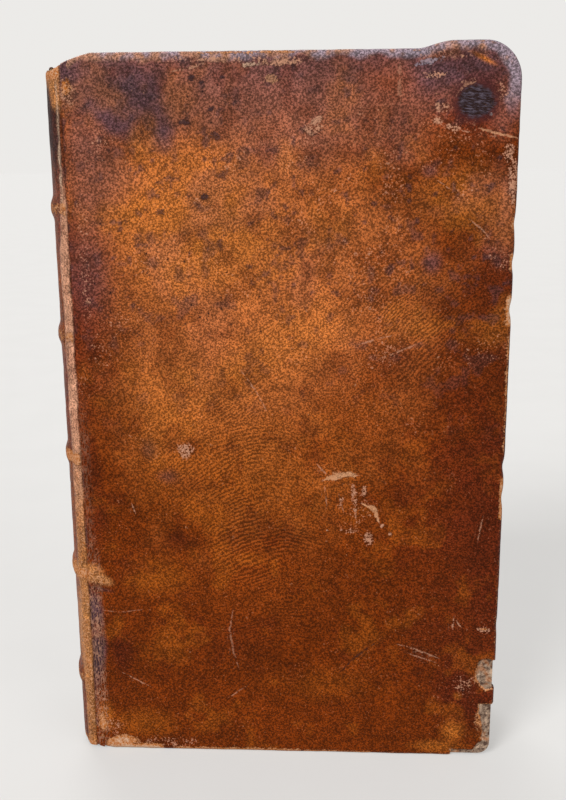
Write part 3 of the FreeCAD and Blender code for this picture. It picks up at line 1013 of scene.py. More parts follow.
def toned(u: Array, v: Array, stains_and_light: Sequence[Stain], ground: Colour, seed: int) -> Array:
    """The tone of the hide at each place: its stains and painted light one over another, then its mottling
    with painted sheen.

    Args:
        u: distance from the joint.
        v: height above the tail.
        stains_and_light: stains with painted light, sheen and shade, laid in order.
        ground: the hide's colour where no stain reaches.
        seed: picks how the stains' edges wander.
    """
    flat = spots(u, v)
    wide, near = layered_noise(flat, 22.0, seed, 4), layered_noise(flat, 7.0, seed + 17, 4)
    tone = np.tile(np.array(ground), (len(u), 1))
    for number, stain in enumerate(stains_and_light):
        local = 0.6 * wide + 0.9 * near * (-1.0) ** number
        tone = over(tone, stain.colour, stain.mask(u, v, local))
    for size, shift, low, high, colour, strength, start, full in MOTTLING_AND_SHEEN:
        patch = smooth_step(low, high, layered_noise(flat, size, seed + shift, 4))
        tone = over(tone, colour, patch * smooth_step(start, full, v) * strength)
    cloud = 0.24 * layered_noise(flat, 10.0, seed + 90, 4) + 0.3 * layered_noise(flat, 3.0, seed + 95, 3)
    return tone * np.clip(1.0 + cloud, 0.3, 2.0)[:, None]


MOTTLING_AND_SHEEN = (
    # Painted sheen: mauve patches above the middle, over the hide's own tone.
    (13, 61, 0.05, 0.45, CALF.mauve_sheen, 0.3, 110, 165),
    (15, 67, 0.08, 0.5, CALF.honey, 0.3, 60, 120),
    (8, 69, 0.1, 0.5, CALF.orange, 0.4, 130, 70),
    (5.5, 71, 0.12, 0.42, CALF.maroon, 0.34, 0, 40),
    (3.8, 77, 0.26, 0.48, CALF.soot, 0.42, 90, 140),
    (2.4, 83, 0.42, 0.56, CALF.soot, 0.6, 120, 150),
)


def flowing(u: Array, v: Array, seed: int, crumbs: Sequence[Stain] = ()) -> Array:
    """The run of the wrinkles: their phase in millimetres, their strength, and the light flecks, which are
    painted glints over the grain and crumbs of flaked hide.

    The wrinkles rise towards the fore-edge, and in the lower half they fall again past a
    fold; they show most in two places.

    Args:
        u: distance from the joint.
        v: height above the tail.
        seed: picks how the wrinkles wander.
        crumbs: where the hide has flaked into crumbs.
    """
    flat = spots(u, v)
    rising = 0.743 * v - 0.669 * (u - 66.0)
    falling = 0.906 * v + 0.423 * (u - 66.0)
    arched = np.logaddexp(rising / 8.0, falling / 8.0) * 8.0
    phase = np.where(v > 106.0, rising, arched) + 2.8 * layered_noise(flat, 17.0, seed + 1, 3)
    strong = 0.22 + 0.95 * np.exp(-((u - 54.0) / 18.0) ** 2 - ((v - 80.0) / 28.0) ** 2)
    strong += 0.7 * np.exp(-((u - 94.0) / 16.0) ** 2 - ((v - 130.0) / 15.0) ** 2)
    strong *= 0.28 + 0.9 * smooth_step(-0.35, 0.4, layered_noise(flat, 10.0, seed + 2, 3))
    strong *= 1.0 - 0.55 * smooth_step(60.0, 74.0, u) * smooth_step(110.0, 98.0, v)
    strong *= 1.0 - 0.9 * np.exp(-((v - 106.0) / 4.0) ** 2) * smooth_step(62.0, 80.0, u)
    # Painted glints: light flecks over the grain, most between the middle and the head.
    painted_glints_and_crumbs = 0.12 + 0.24 * smooth_step(70.0, 150.0, v) * smooth_step(206.0, 180.0, v)
    painted_glints_and_crumbs = painted_glints_and_crumbs * smooth_step(-0.05, 0.5, layered_noise(flat, 9.0, seed + 3, 3))
    warp = layered_noise(flat, 3.0, seed + 5, 3)
    for crumb in crumbs:
        painted_glints_and_crumbs = np.maximum(painted_glints_and_crumbs, crumb.mask(u, v, warp))
    return np.column_stack([phase, unit(strong), painted_glints_and_crumbs])


def slip_ridges(u: Array, v: Array, size: BookSize, side: Side) -> Array:
    """How far the hide is raised over the slips of the cords at each place, 0 to 1.

    Args:
        u: distance from the joint, less than 0 on the spine's side.
        v: height above the tail.
        size: holds the cords' heights.
        side: the cover; the front one's second slip stands out in a broad wedge.
    """
    total = np.zeros_like(u)
    for number, height in enumerate(size.cord_heights):
        wedge = side is Side.FRONT and number == 1
        reach, wide, strong, fall = (9.6, 3.5, 1.0, 4.6) if wedge else (10.5, 1.6, 0.26, 0.5)
        out = unit(u / reach)
        across = np.abs(v - height + fall * out) / (wide * (1.0 - 0.72 * out) + 0.2)
        total = np.maximum(total, strong * np.exp(-across**3) * smooth_step(reach, reach * 0.5, u))
    return total


@dataclass
class CoverOutline:
    """The rim of a covered board, seen from its outside, as four chains of points.

    All sizes are millimetres in u, v; the joint side is open to the joint's strip.
    """

    width: float
    height: float
    start: float
    corner_run: float = 5.0
    corner_drop: float = 1.1
    head_run: float = 4.0
    head_drop: float = 2.0
    tail_radius: float = 3.0
    head_radius: float = 3.0
    rise: float = 0.0
    bump_flat: float = 18.0
    bump_foot: float = 28.0

    @classmethod
    def of(cls, side: Side, size: BookSize, start: float) -> "CoverOutline":
        """The worn front cover's outline, or the plain back cover's."""
        plain = cls(size.width, size.height, start)
        if side is Side.BACK:
            return plain
        return replace(plain, head_run=8.0, head_drop=2.7, tail_radius=4.5, head_radius=10.0, rise=2.0)

    def top(self, u: Array) -> Array:
        """Height of the head edge, without the outer corner's round."""
        cut = self.height - self.head_drop * (1.0 - unit(u / self.head_run) ** 0.8)
        return np.where(u < self.head_run, cut, self.swollen(u))

    def swollen(self, u: Array) -> Array:
        """Height of the head edge with its swelling alone."""
        return self.height + self.rise * smooth_step(self.width - self.bump_foot,
                                                     self.width - self.bump_flat, u)

    def bottom(self, u: Array) -> Array:
        """Height of the tail edge, without the outer corner's round."""
        return self.corner_drop * (1.0 - unit(u / self.corner_run) ** 0.8)

    def ring(self) -> Array:
        """Points round the tail, the fore-edge and the head, densely spaced."""
        across = np.linspace(self.start, self.width - self.tail_radius, 400)
        top = self.height + self.rise
        up = np.linspace(self.tail_radius, top - self.head_radius, 500)[1:]
        back = np.linspace(self.width - self.head_radius, self.start, 400)[1:]
        return np.concatenate([
            np.stack([across, self.bottom(across)], 1),
            self.corner(self.tail_radius, self.tail_radius, np.linspace(-np.pi / 2, 0, 60)[1:]),
            np.stack([np.full_like(up, self.width), up], 1),
            self.corner(self.head_radius, top - self.head_radius, np.linspace(0, np.pi / 2, 80)[1:]),
            np.stack([back, self.top(back)], 1),
        ])

    def corner(self, radius: float, middle: float, turn: Array) -> Array:
        """The round of an outer corner, about a middle at that height."""
        centre = np.array([self.width - radius, middle])
        return centre + radius * np.stack([np.cos(turn), np.sin(turn)], 1)

    def chains(self, across: int, up: int, inset: float) -> tuple[Array, Array, Array, Array]:
        """The rim as evenly spaced chains, moved inwards.

        Args:
            across: quads along the tail and the head.
            up: quads along the fore-edge and the joint.
            inset: how far the chains lie inside the outline.

        Returns:
            Tail, fore-edge and head chains in order round the rim, and the outward normals of
            all their points, which are the chains joined end to end without repeats.
        """
        ring = self.ring()
        along = np.concatenate([[0.0], np.cumsum(np.linalg.norm(np.diff(ring, axis=0), axis=1))])
        low, high = (along[np.argmin(np.linalg.norm(ring - np.array([self.width, v]), axis=1))]
                     for v in (0.0, self.height + self.rise))
        stops = np.concatenate([
            np.linspace(0.0, low, across + 1),
            np.linspace(low, high, up + 1)[1:],
            np.linspace(high, along[-1], across + 1)[1:],
        ])
        before, points, after = (
            np.stack([np.interp(stops + step, along, ring[:, axis]) for axis in (0, 1)], 1)
            for step in (-0.9, 0.0, 0.9))
        tangent = after - before
        tangent /= np.linalg.norm(tangent, axis=1, keepdims=True)
        normal = np.stack([tangent[:, 1], -tangent[:, 0]], 1)
        inner = points - normal * inset
        inner[0, 0], inner[-1, 0] = self.start, self.start
        return inner[:across + 1], inner[across:across + up + 1], inner[across + up:], normal

    def straight(self, across: int, up: int, inset: float) -> Array:
        """The points of a plain rectangle inside the rim, in step with its chains."""
        low, high, far = inset, self.height - inset, self.width - inset
        ends = (self.start, low), (far, low), (far, high), (self.start, high)
        tail, fore, head = (np.linspace(one, two, count + 1)
                            for one, two, count in zip(ends, ends[1:], (across, up, across)))
        return np.concatenate([tail, fore[1:], head[1:]])

    def edge_distance(self, u: Array, v: Array) -> Array:
        """How far inside the rim each place is."""
        top = np.minimum(self.swollen(u), self.top(u))
        near = np.minimum(np.minimum(self.width - u, v - self.bottom(u)), top - v)
        radius = self.head_radius
        centre = (self.width - radius, self.height + self.rise - radius)
        past = (u > centre[0]) & (v > centre[1])
        rounded = radius - np.hypot(u - centre[0], v - centre[1])
        return np.where(past, rounded, near)


def coons(tail: Array, fore: Array, head: Array, joint: Array) -> Array:
    """Fills the inside of four chains with an even grid of points.

    Args:
        tail: points from the joint to the fore-edge.
        fore: points from the tail to the head.
        head: points from the joint to the fore-edge.
        joint: points from the tail to the head.

    Returns:
        A (len(fore), len(tail), 2) array.
    """
    s = np.linspace(0.0, 1.0, len(tail))[None, :, None]
    t = np.linspace(0.0, 1.0, len(fore))[:, None, None]
    ruled = (1 - t) * tail[None] + t * head[None] + (1 - s) * joint[:, None] + s * fore[:, None]
    low, high = (1 - s) * tail[0] + s * tail[-1], (1 - s) * head[0] + s * head[-1]
    return ruled - (1 - t) * low - t * high


class Edge(Enum):
    """The edges of a cover that wear."""

    FORE = "fore-edge"
    TAIL = "tail"
    HEAD = "head"


@dataclass(frozen=True)
class RimWear:
    """A rubbed stretch of a cover's rim, from one place to another along an edge."""

    edge: Edge
    start: float
    end: float
    strength: float
    reach: float = 1.1


FRONT_WEAR: tuple[RimWear, ...] = each(
    RimWear,
    (Edge.FORE, 160.5, 164.5, 0.85, 1.2),
    (Edge.FORE, 149.5, 154.5, 0.9, 1.3),
    (Edge.FORE, 134, 143, 1.1, 1.6),
    (Edge.FORE, 97, 132, 0.62, 0.9),
    (Edge.FORE, 77, 90.5, 0.85, 1.1),
    (Edge.FORE, 166, 186, 0.35, 0.8),
    (Edge.FORE, 34, 76, 0.42, 0.8),
    (Edge.TAIL, 3, 21, 1.15, 2),
    (Edge.TAIL, 24, 64, 0.82, 1.3),
    (Edge.TAIL, 64, 86, 0.72, 1),
    (Edge.TAIL, 86, 112, 0.5, 0.8),
    (Edge.HEAD, 36, 64, 0.6, 0.9),
    (Edge.HEAD, 92, 118, 0.4, 0.8),
)

BACK_WEAR: tuple[RimWear, ...] = each(
    RimWear,
    (Edge.FORE, 20, 70, 0.6, 0.9),
    (Edge.FORE, 110, 150, 0.8, 1.2),
    (Edge.FORE, 180, 206, 0.9, 1.4),
    (Edge.FORE, 0, 12, 1, 1.5),
    (Edge.TAIL, 4, 60, 0.8, 1.1),
    (Edge.TAIL, 80, 122, 0.9, 1.2),
    (Edge.HEAD, 10, 70, 0.55, 0.9),
    (Edge.HEAD, 90, 122, 0.85, 1.2),
)


@dataclass
class JointShape:
    """The hinge of hide beside a cover: a crease at the joint and a broad ridge outside it."""

    crease: float = 0.5
    crease_reach: float = 0.55
    ridge: float = 0.42
    ridge_wide: float = 3.3
    overlap: float = 2.0
    spine_reach: float = -4.0

    def sway(self, v: Array) -> Array:
        """How far the crease wanders from the joint's straight line."""
        line = spots(v * 0.0, v)
        return 0.22 * layered_noise(line, 14.0, 91, 3) + 0.26 * layered_noise(line, 4.0, 95, 4)

    def ridge_mask(self, u: Array, v: Array) -> Array:
        """Where the ridge stands, 1 on it; it is narrow at the head."""
        wide = self.ridge_wide * (0.36 + 0.64 * smooth_step(184.0, 150.0, v))
        wide = wide * (1.0 + 0.14 * layered_noise(spots(v * 0.0, v), 8.0, 37, 3))
        at = u - self.sway(v)
        return smooth_step(-wide - 0.5, -wide + 0.4, at) * smooth_step(-0.05, -0.55, at)

    def depth(self, u: Array, v: Array, size: BookSize) -> Array:
        """Depth of the hide below the cover's plane, on both sides of the joint."""
        across = np.clip((size.hinge_x + u - size.spine_x_plane) / size.spine_out, -1.0, 0.0)
        spine = size.half - size.spine_side * np.sqrt(1.0 - across**2)
        crease = self.crease * (0.45 + 0.55 * smooth_step(120.0, 64.0, v))
        crease = crease * np.exp(-((u - self.sway(v)) / self.crease_reach) ** 2)
        raised = self.ridge * self.ridge_mask(u, v)
        return np.maximum(spine, crease) * (u < 0) + crease * (u >= 0) - raised


@dataclass
class CoverHide:
    """The hide over one board: its face, the edges it is rolled over and its turn-ins."""

    side: Side
    size: BookSize
    across: int = 156
    up: int = 262
    roll: float = 1.35
    inner_roll: float = 0.8
    turn_in: float = 12.8
    start: float = 0.12
    slip_height: float = 0.5
    joint: JointShape = field(default_factory=JointShape)

    @property
    def front(self) -> bool:
        """Whether this is the cover that the photograph shows."""
        return self.side is Side.FRONT

    def build(self, finish: Material) -> Piece:
        """Builds the hide and puts it in the place of the cover's leather.

        Args:
            finish: the calf's material.

        Returns:
            The finished piece.
        """
        outline = CoverOutline.of(self.side, self.size, self.start)
        tail, fore, head, normal = outline.chains(self.across, self.up, self.roll)
        joint = np.stack([np.full(self.up + 1, self.start),
                          np.linspace(tail[0, 1], head[-1, 1], self.up + 1)], 1)
        face = coons(tail, fore, head[::-1], joint)
        rim = np.concatenate([tail, fore[1:], head[1:]])
        numbers, sheets = Patchwork(), []
        grid = numbers.add_grid(np.dstack([face, np.zeros(face.shape[:2])]), flip=not self.front)
        sheets.append(np.tile([0.0, 0.0, 1.0], (face.shape[0] * face.shape[1], 1)))
        border = np.concatenate([grid[0], grid[1:, -1], grid[-1, -2::-1]])
        steps = [(rim + normal * (self.roll + offset), depth, lean) for offset, depth, lean in self.section()]
        flat = outline.straight(self.across, self.up, self.turn_in)
        edge = rim + normal * (self.roll - self.inner_roll)
        for share, sink in ((0.06, 0.0), (0.3, 0.0), (0.6, 0.0), (0.97, 0.0), (1.0, 0.35)):
            steps.append((edge * (1.0 - share) + flat * share, self.size.cover_depth - sink, math.pi))
        rows = [border]
        for points, depth, lean in steps:
            points[[0, -1], 0] = self.start
            rows.append(numbers.add_points(np.column_stack([points, np.full(len(points), depth)])))
            sheets.append(np.column_stack([normal * math.sin(lean), np.full(len(points), math.cos(lean))]))
        numbers.add_faces(np.stack(rows), flip=self.front)
        return self.dress(numbers, np.concatenate(sheets), outline, finish)

    def section(self) -> list[tuple[float, float, float]]:
        """The rolled edge as (offset from the rim, depth, lean of the surface) steps."""
        steps = []
        for angle in np.linspace(0, math.pi / 2, 6)[1:]:
            steps.append((-self.roll + self.roll * math.sin(angle),
                          self.roll - self.roll * math.cos(angle), angle))
        depth, inner = self.size.cover_depth, self.inner_roll
        steps.append((0.0, (self.roll + depth - inner) / 2, math.pi / 2))
        for angle in np.linspace(0, math.pi / 2, 4):
            steps.append((-inner + inner * math.cos(angle),
                          depth - inner + inner * math.sin(angle), math.pi / 2 + angle))
        return steps

    def dress(self, numbers: Patchwork, leans: Array, outline: CoverOutline,
              finish: Material) -> Piece:
        """Gives the flat hide its relief, its place, its tones and its wear."""
        flat = np.concatenate(numbers.points)
        u, v, depth = flat.T
        inside = outline.edge_distance(u, v)
        rise = self.relief(u, v, depth, inside)
        surface = np.where(depth < 0.5, self.joint.depth(np.maximum(u, 0.0), v, self.size), 0.0)
        sunk = 0.14 * smooth_step(1.95, 1.45, u) * (depth < 0.5)
        moved = flat + leans * np.array([1.0, 1.0, -1.0]) * rise[:, None]
        moved[:, 2] += surface + sunk
        moved[:, 1] = np.maximum(moved[:, 1], 0.0)
        numbers.points = [self.placed(moved)]
        mesh = numbers.mesh(f"{self.side.word}_hide")
        stains_and_light = FRONT_STAINS_AND_PAINTED_LIGHT if self.front else BACK_STAINS_AND_SHEEN
        fields = {"flow": flowing(u, v, 31, CRUMBS if self.front else ())}
        if self.front:
            fields.update(scuff_fields(u, v, FRONT_SCUFFS))
            fields.update(scratch_fields(u, v, FRONT_SCRATCHES, self.size.width / self.across))
            fields["burn"] = burn_field(u, v)
        # Painted sheen along the head edge, over the toned hide.
        tone = self.head_sheen(toned(u, v, stains_and_light, CALF.oiled, 5 + self.side.value), u, v, inside)
        paint(mesh, tone, self.marks(u, v, depth, inside), fields)
        piece = new_object(f"{self.side.word}_hide", mesh, finish)
        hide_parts(f"{self.side.word}_cover_leather")
        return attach(piece, f"{self.side.word}_cover")

    def head_sheen(self, tone: Array, u: Array, v: Array, inside: Array) -> Array:
        """Paints a grey and pink highlight along the hide's head edge: painted sheen where light from above
        catches the rim.
        """
        flat = spots(u, v)
        patchy = layered_noise(flat, 5.0, 21, 4)
        reach = 1.9 + 1.6 * patchy + 1.6 * smooth_step(104.0, 118.0, u)
        band = smooth_step(reach + 0.9, reach - 0.9, inside) * smooth_step(188.0, 200.0, v)
        share = smooth_step(-0.3, 0.3, layered_noise(flat, 2.6, 27, 3) - 0.007 * (u - 50.0))
        # Painted sheen colour: grey mixed with pink.
        sheen_colour = over(np.array(CALF.grey), np.array(CALF.pink) * 0.8, share)
        return over(tone, sheen_colour, band * (0.66 if self.front else 0.45))

    def placed(self, flat: Array) -> Array:
        """Turns u, v and depth into x, y and z, in millimetres."""
        x = self.size.hinge_x + flat[:, 0]
        y = self.side.value * (self.size.half - flat[:, 2])
        return np.column_stack([x, y, flat[:, 1]])

    def relief(self, u: Array, v: Array, depth: Array, inside: Array) -> Array:
        """How far each point stands out along its own normal."""
        seed = 11 if self.front else 23
        flat = np.column_stack([u, v, depth * 2.0])
        outer = smooth_step(2.6, 1.0, depth)
        swell = 0.16 * layered_noise(flat, 38.0, seed, 2) * smooth_step(0.0, 12.0, inside)
        turned = np.column_stack([u * 0.83 + v * 0.56, (v * 0.83 - u * 0.56) * 2.6, depth])
        folds = 1.0 - np.abs(layered_noise(turned, 9.0, seed + 3, 3)) * 2.4
        folds = unit(folds) ** 3 * -0.075 * smooth_step(0.5, 3.0, inside)
        grain = 0.035 * layered_noise(flat, 2.4, seed + 5, 2)
        knocks = 0.13 * layered_noise(flat, 5.5, seed + 7, 3) * smooth_step(2.2, -0.4, inside)
        ridges = self.slip_height * slip_ridges(u, v, self.size, self.side)
        total = (swell + folds + grain + ridges) * outer + knocks
        for height, size in self.dents():
            total -= size * np.exp(-((v - height) / 2.2) ** 2) * smooth_step(1.6, -0.2, inside) \
                * (u > self.size.width / 2)
        return total - 1.45 * self.bare(u, v)

    def dents(self) -> tuple[tuple[float, float], ...]:
        """Places and depths of the knocks along the fore-edge."""
        if self.front:
            return ((162.5, 0.35), (151.5, 0.45), (139.0, 0.55), (93.5, 0.5), (84.0, 0.4), (44.0, 0.25))
        return ((190.0, 0.5), (128.0, 0.45), (60.0, 0.35), (9.0, 0.6))

    def bare(self, u: Array, v: Array) -> Array:
        """Where the hide is worn off the board, 1 inside and 0 outside."""
        flat = spots(u, v)
        torn = 0.9 * layered_noise(flat, 3.2, 71, 4)
        if not self.front:
            corner = np.hypot(self.size.width - u, v) - 3.4
            return smooth_step(0.35, -0.35, corner + torn)
        patch = (np.hypot((u - 120.4) / 3.6, (v - 27.6) / 5.0) - 1.0) * 3.6
        strip = np.maximum(self.size.width - 4.4 + 0.12 * (17.7 - v) - u, v - 17.7)
        foot = np.maximum(110.2 - u, v - 2.2)
        corner = np.hypot(self.size.width + 1.0 - u, v + 1.0) - 7.4
        shape = np.minimum(np.minimum(patch, strip), np.minimum(foot, corner))
        return smooth_step(0.35, -0.35, shape + torn)

    def marks(self, u: Array, v: Array, depth: Array, inside: Array) -> Array:
        """How rubbed, cracked and speckled the hide is at each place."""
        flat = np.column_stack([u, v, depth])
        rubbed = np.zeros_like(u)
        past = np.where(depth < 0.4, np.maximum(inside, 0.0), -np.maximum(depth - 0.4, 0.0) * 0.9)
        for wear in (FRONT_WEAR if self.front else BACK_WEAR):
            place, other = {Edge.FORE: (v, self.size.width - u), Edge.TAIL: (u, v),
                            Edge.HEAD: (u, self.size.height - v)}[wear.edge]
            ends = 1.0 + 0.4 * layered_noise(flat, 6.0, 53, 2)
            run = smooth_step(wear.start - 1.5 * ends, wear.start + 1.5, place) \
                * smooth_step(wear.end + 1.5 * ends, wear.end - 1.5, place)
            near = np.exp(-((past - 0.35) / wear.reach) ** 2) * (other < 6.0)
            rubbed = np.maximum(rubbed, wear.strength * run * near)
        rubbed = np.maximum(rubbed, 0.3 * np.exp(-((past - 0.2) / 0.9) ** 2))
        rubbed = np.maximum(rubbed, 0.8 * smooth_step(-0.05, 0.12, self.bare(u, v)))
        for spot in WORN_SPOTS if self.front else ():
            rubbed = np.maximum(rubbed, spot.mask(u, v, layered_noise(flat, 3.0, 57, 3)))
        ridges = slip_ridges(u, v, self.size, self.side)
        rubbed = np.maximum(rubbed, 0.52 * ridges)
        cracked = smooth_step(4.4, 3.0, u) * smooth_step(70.0, 56.0, v)
        cracked = np.maximum(cracked, smooth_step(3.4, 1.0, u) * smooth_step(120.0, 100.0, v) * 0.5)
        cracked *= (0.8 + 0.4 * layered_noise(flat, 16.0, 67, 2)) * (1.0 - ridges)
        specks = smooth_step(-0.05, 0.35, layered_noise(flat, 13.0, 29, 3))
        specks *= 0.12 + 0.8 * smooth_step(105.0, 145.0, v) * smooth_step(95.0, 55.0, u)
        return np.clip(np.column_stack([rubbed, cracked, specks]), 0.0, 1.2)


@dataclass
class JointStrip:
    """The strip of hide that bends between the spine and a cover."""

    side: Side
    size: BookSize
    columns: int = 46
    rows: int = 380
    thickness: float = 0.75
    bend_reach: float = 1.0
    shape: JointShape = field(default_factory=JointShape)

    def build(self, finish: Material) -> Piece:
        """Builds the strip as a closed skin.

        Args:
            finish: the calf's material.

        Returns:
            The finished piece.
        """
        u = np.linspace(self.shape.spine_reach, self.shape.overlap, self.columns)
        low, high = self.ends(u)
        t = np.linspace(0.0, 1.0, self.rows)[:, None]
        v = low[None] * (1.0 - t) + high[None] * t
        across = np.broadcast_to(u, v.shape)
        place = across.ravel(), v.ravel()
        depth = self.shape.depth(*place, self.size)
        noise = layered_noise(spots(*place, depth), 2.2, 44, 3)
        feather = 0.12 * (smooth_step(self.shape.overlap - 0.45, self.shape.overlap, place[0])
                          + smooth_step(u[0] + 0.5, u[0], place[0]))
        depth = depth + feather - 0.05 * noise - 0.5 * slip_ridges(*place, self.size, self.side)
        depth = depth.reshape(v.shape)
        end = np.minimum(v - low[None], high[None] - v)
        rounded = self.thickness * 0.5 * smooth_step(0.5, 0.0, end) ** 2
        skin = Patchwork()
        skin.add_shell(np.dstack([across, v, depth + rounded]),
                       np.dstack([across, v, depth + self.thickness - rounded]), self.side is Side.BACK)
        flat = np.concatenate(skin.points)
        skin.points = [np.column_stack([self.size.hinge_x + flat[:, 0],
                                        self.side.value * (self.size.half - flat[:, 2]),
                                        np.maximum(flat[:, 1], 0.05)])]
        mesh = skin.mesh(f"{self.side.word}_joint_hide")
        self.colour(mesh, flat)
        piece = new_object(f"{self.side.word}_joint_hide", mesh, finish)
        start, end = (((self.size.hinge_x + off) * MM, self.side.value * self.size.half * MM, MIDDLE_Z)
                      for off in (-self.bend_reach, self.bend_reach))
        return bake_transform(piece)

    def ends(self, u: Array) -> tuple[Array, Array]:
        """Heights of the strip's tail and head edges, between the spine's and the cover's."""
        outline = CoverOutline.of(self.side, self.size, 0.0)
        ragged = spots(u)
        blend = smooth_step(-1.4, 0.8, u)
        over = np.maximum(u, 0.0)
        low = (self.size.spine_low + 0.1) * (1.0 - blend) + (outline.bottom(over) - 0.1) * blend
        above = np.interp(u, (-4.0, -1.0), (-0.2, 1.4)) if self.side is Side.FRONT else -0.3
        high = (self.size.spine_high + above) * (1.0 - blend) + (outline.top(over) - 0.25) * blend
        return low + 0.25 * layered_noise(ragged, 1.1, 81), high + 0.35 * layered_noise(ragged, 1.1, 82)

    def colour(self, mesh: bpy.types.Mesh, flat: Array) -> None:
        """Tones the strip: painted shade in the crease, rubbed along the ridge, crackled beside it."""
        u, v = flat[:, 0], flat[:, 1]
        front = self.side is Side.FRONT
        hide, spine = CoverHide(self.side, self.size), SpineHide(self.size)
        out = unit((-u - 0.3) / self.size.spine_out)
        along = self.side.value * np.arccos(out) * BACK_RADIUS
        cover = toned(u, v, FRONT_STAINS_AND_PAINTED_LIGHT if front else BACK_STAINS_AND_SHEEN, CALF.oiled, 5 + self.side.value)
        blend = smooth_step(0.3, -1.0, u)
        tone = over(cover, spine.tones(along, v), blend)
        patchy = layered_noise(spots(u * 1.5, v), 3.0, 89, 3)
        grain = layered_noise(spots(u, v * 0.6), 0.9, 93, 2)
        ridge = self.shape.ridge_mask(u, v) * smooth_step(178.0, 166.0, v)
        flesh = over(np.array(CALF.tan) * 0.85, np.array(CALF.pink) * 1.05, smooth_step(62.0, 110.0, v))
        amount = ridge * unit(0.92 + 0.6 * patchy) * (0.95 if front else 0.5)
        tone = over(tone, flesh * (1.0 + 0.6 * grain[:, None]), amount)
        # Painted shade: the crease darkened in dashes, most towards the tail.
        dark = np.clip(0.3 * smooth_step(90.0, 60.0, v) + 1.1 * patchy, 0.0, 0.8)
        crease = dark * np.exp(-((u - self.shape.sway(v)) / 0.36) ** 2)
        crease *= 1.0 - slip_ridges(u, v, self.size, self.side)
        tone = over(tone, CALF.soot, crease)
        marks = over(hide.marks(np.maximum(u, 0.0), v, u * 0.0, np.full_like(u, 9.0)),
                     spine.marks(along, v), blend)
        bared = 0.1 + 0.34 * smooth_step(100.0, 62.0, v) + 0.26 * patchy
        marks[:, 0] = np.maximum(marks[:, 0] * (1.0 - crease), ridge * bared)
        thin = np.exp(-((u + 1.5 + 0.5 * patchy) / 0.4) ** 2) * smooth_step(164.0, 174.0, v)
        tone = over(tone, np.array(CALF.pale) * 0.7, thin * unit(0.7 + patchy))
        marks[:, 1] *= 1.0 - ridge
        flow = flowing(u, v, 31, CRUMBS if front else ())
        flow[:, 2] = np.maximum(flow[:, 2], ridge * (0.55 + 0.4 * patchy))
        paint(mesh, tone, np.clip(marks, 0.0, 1.2), {"flow": flow})


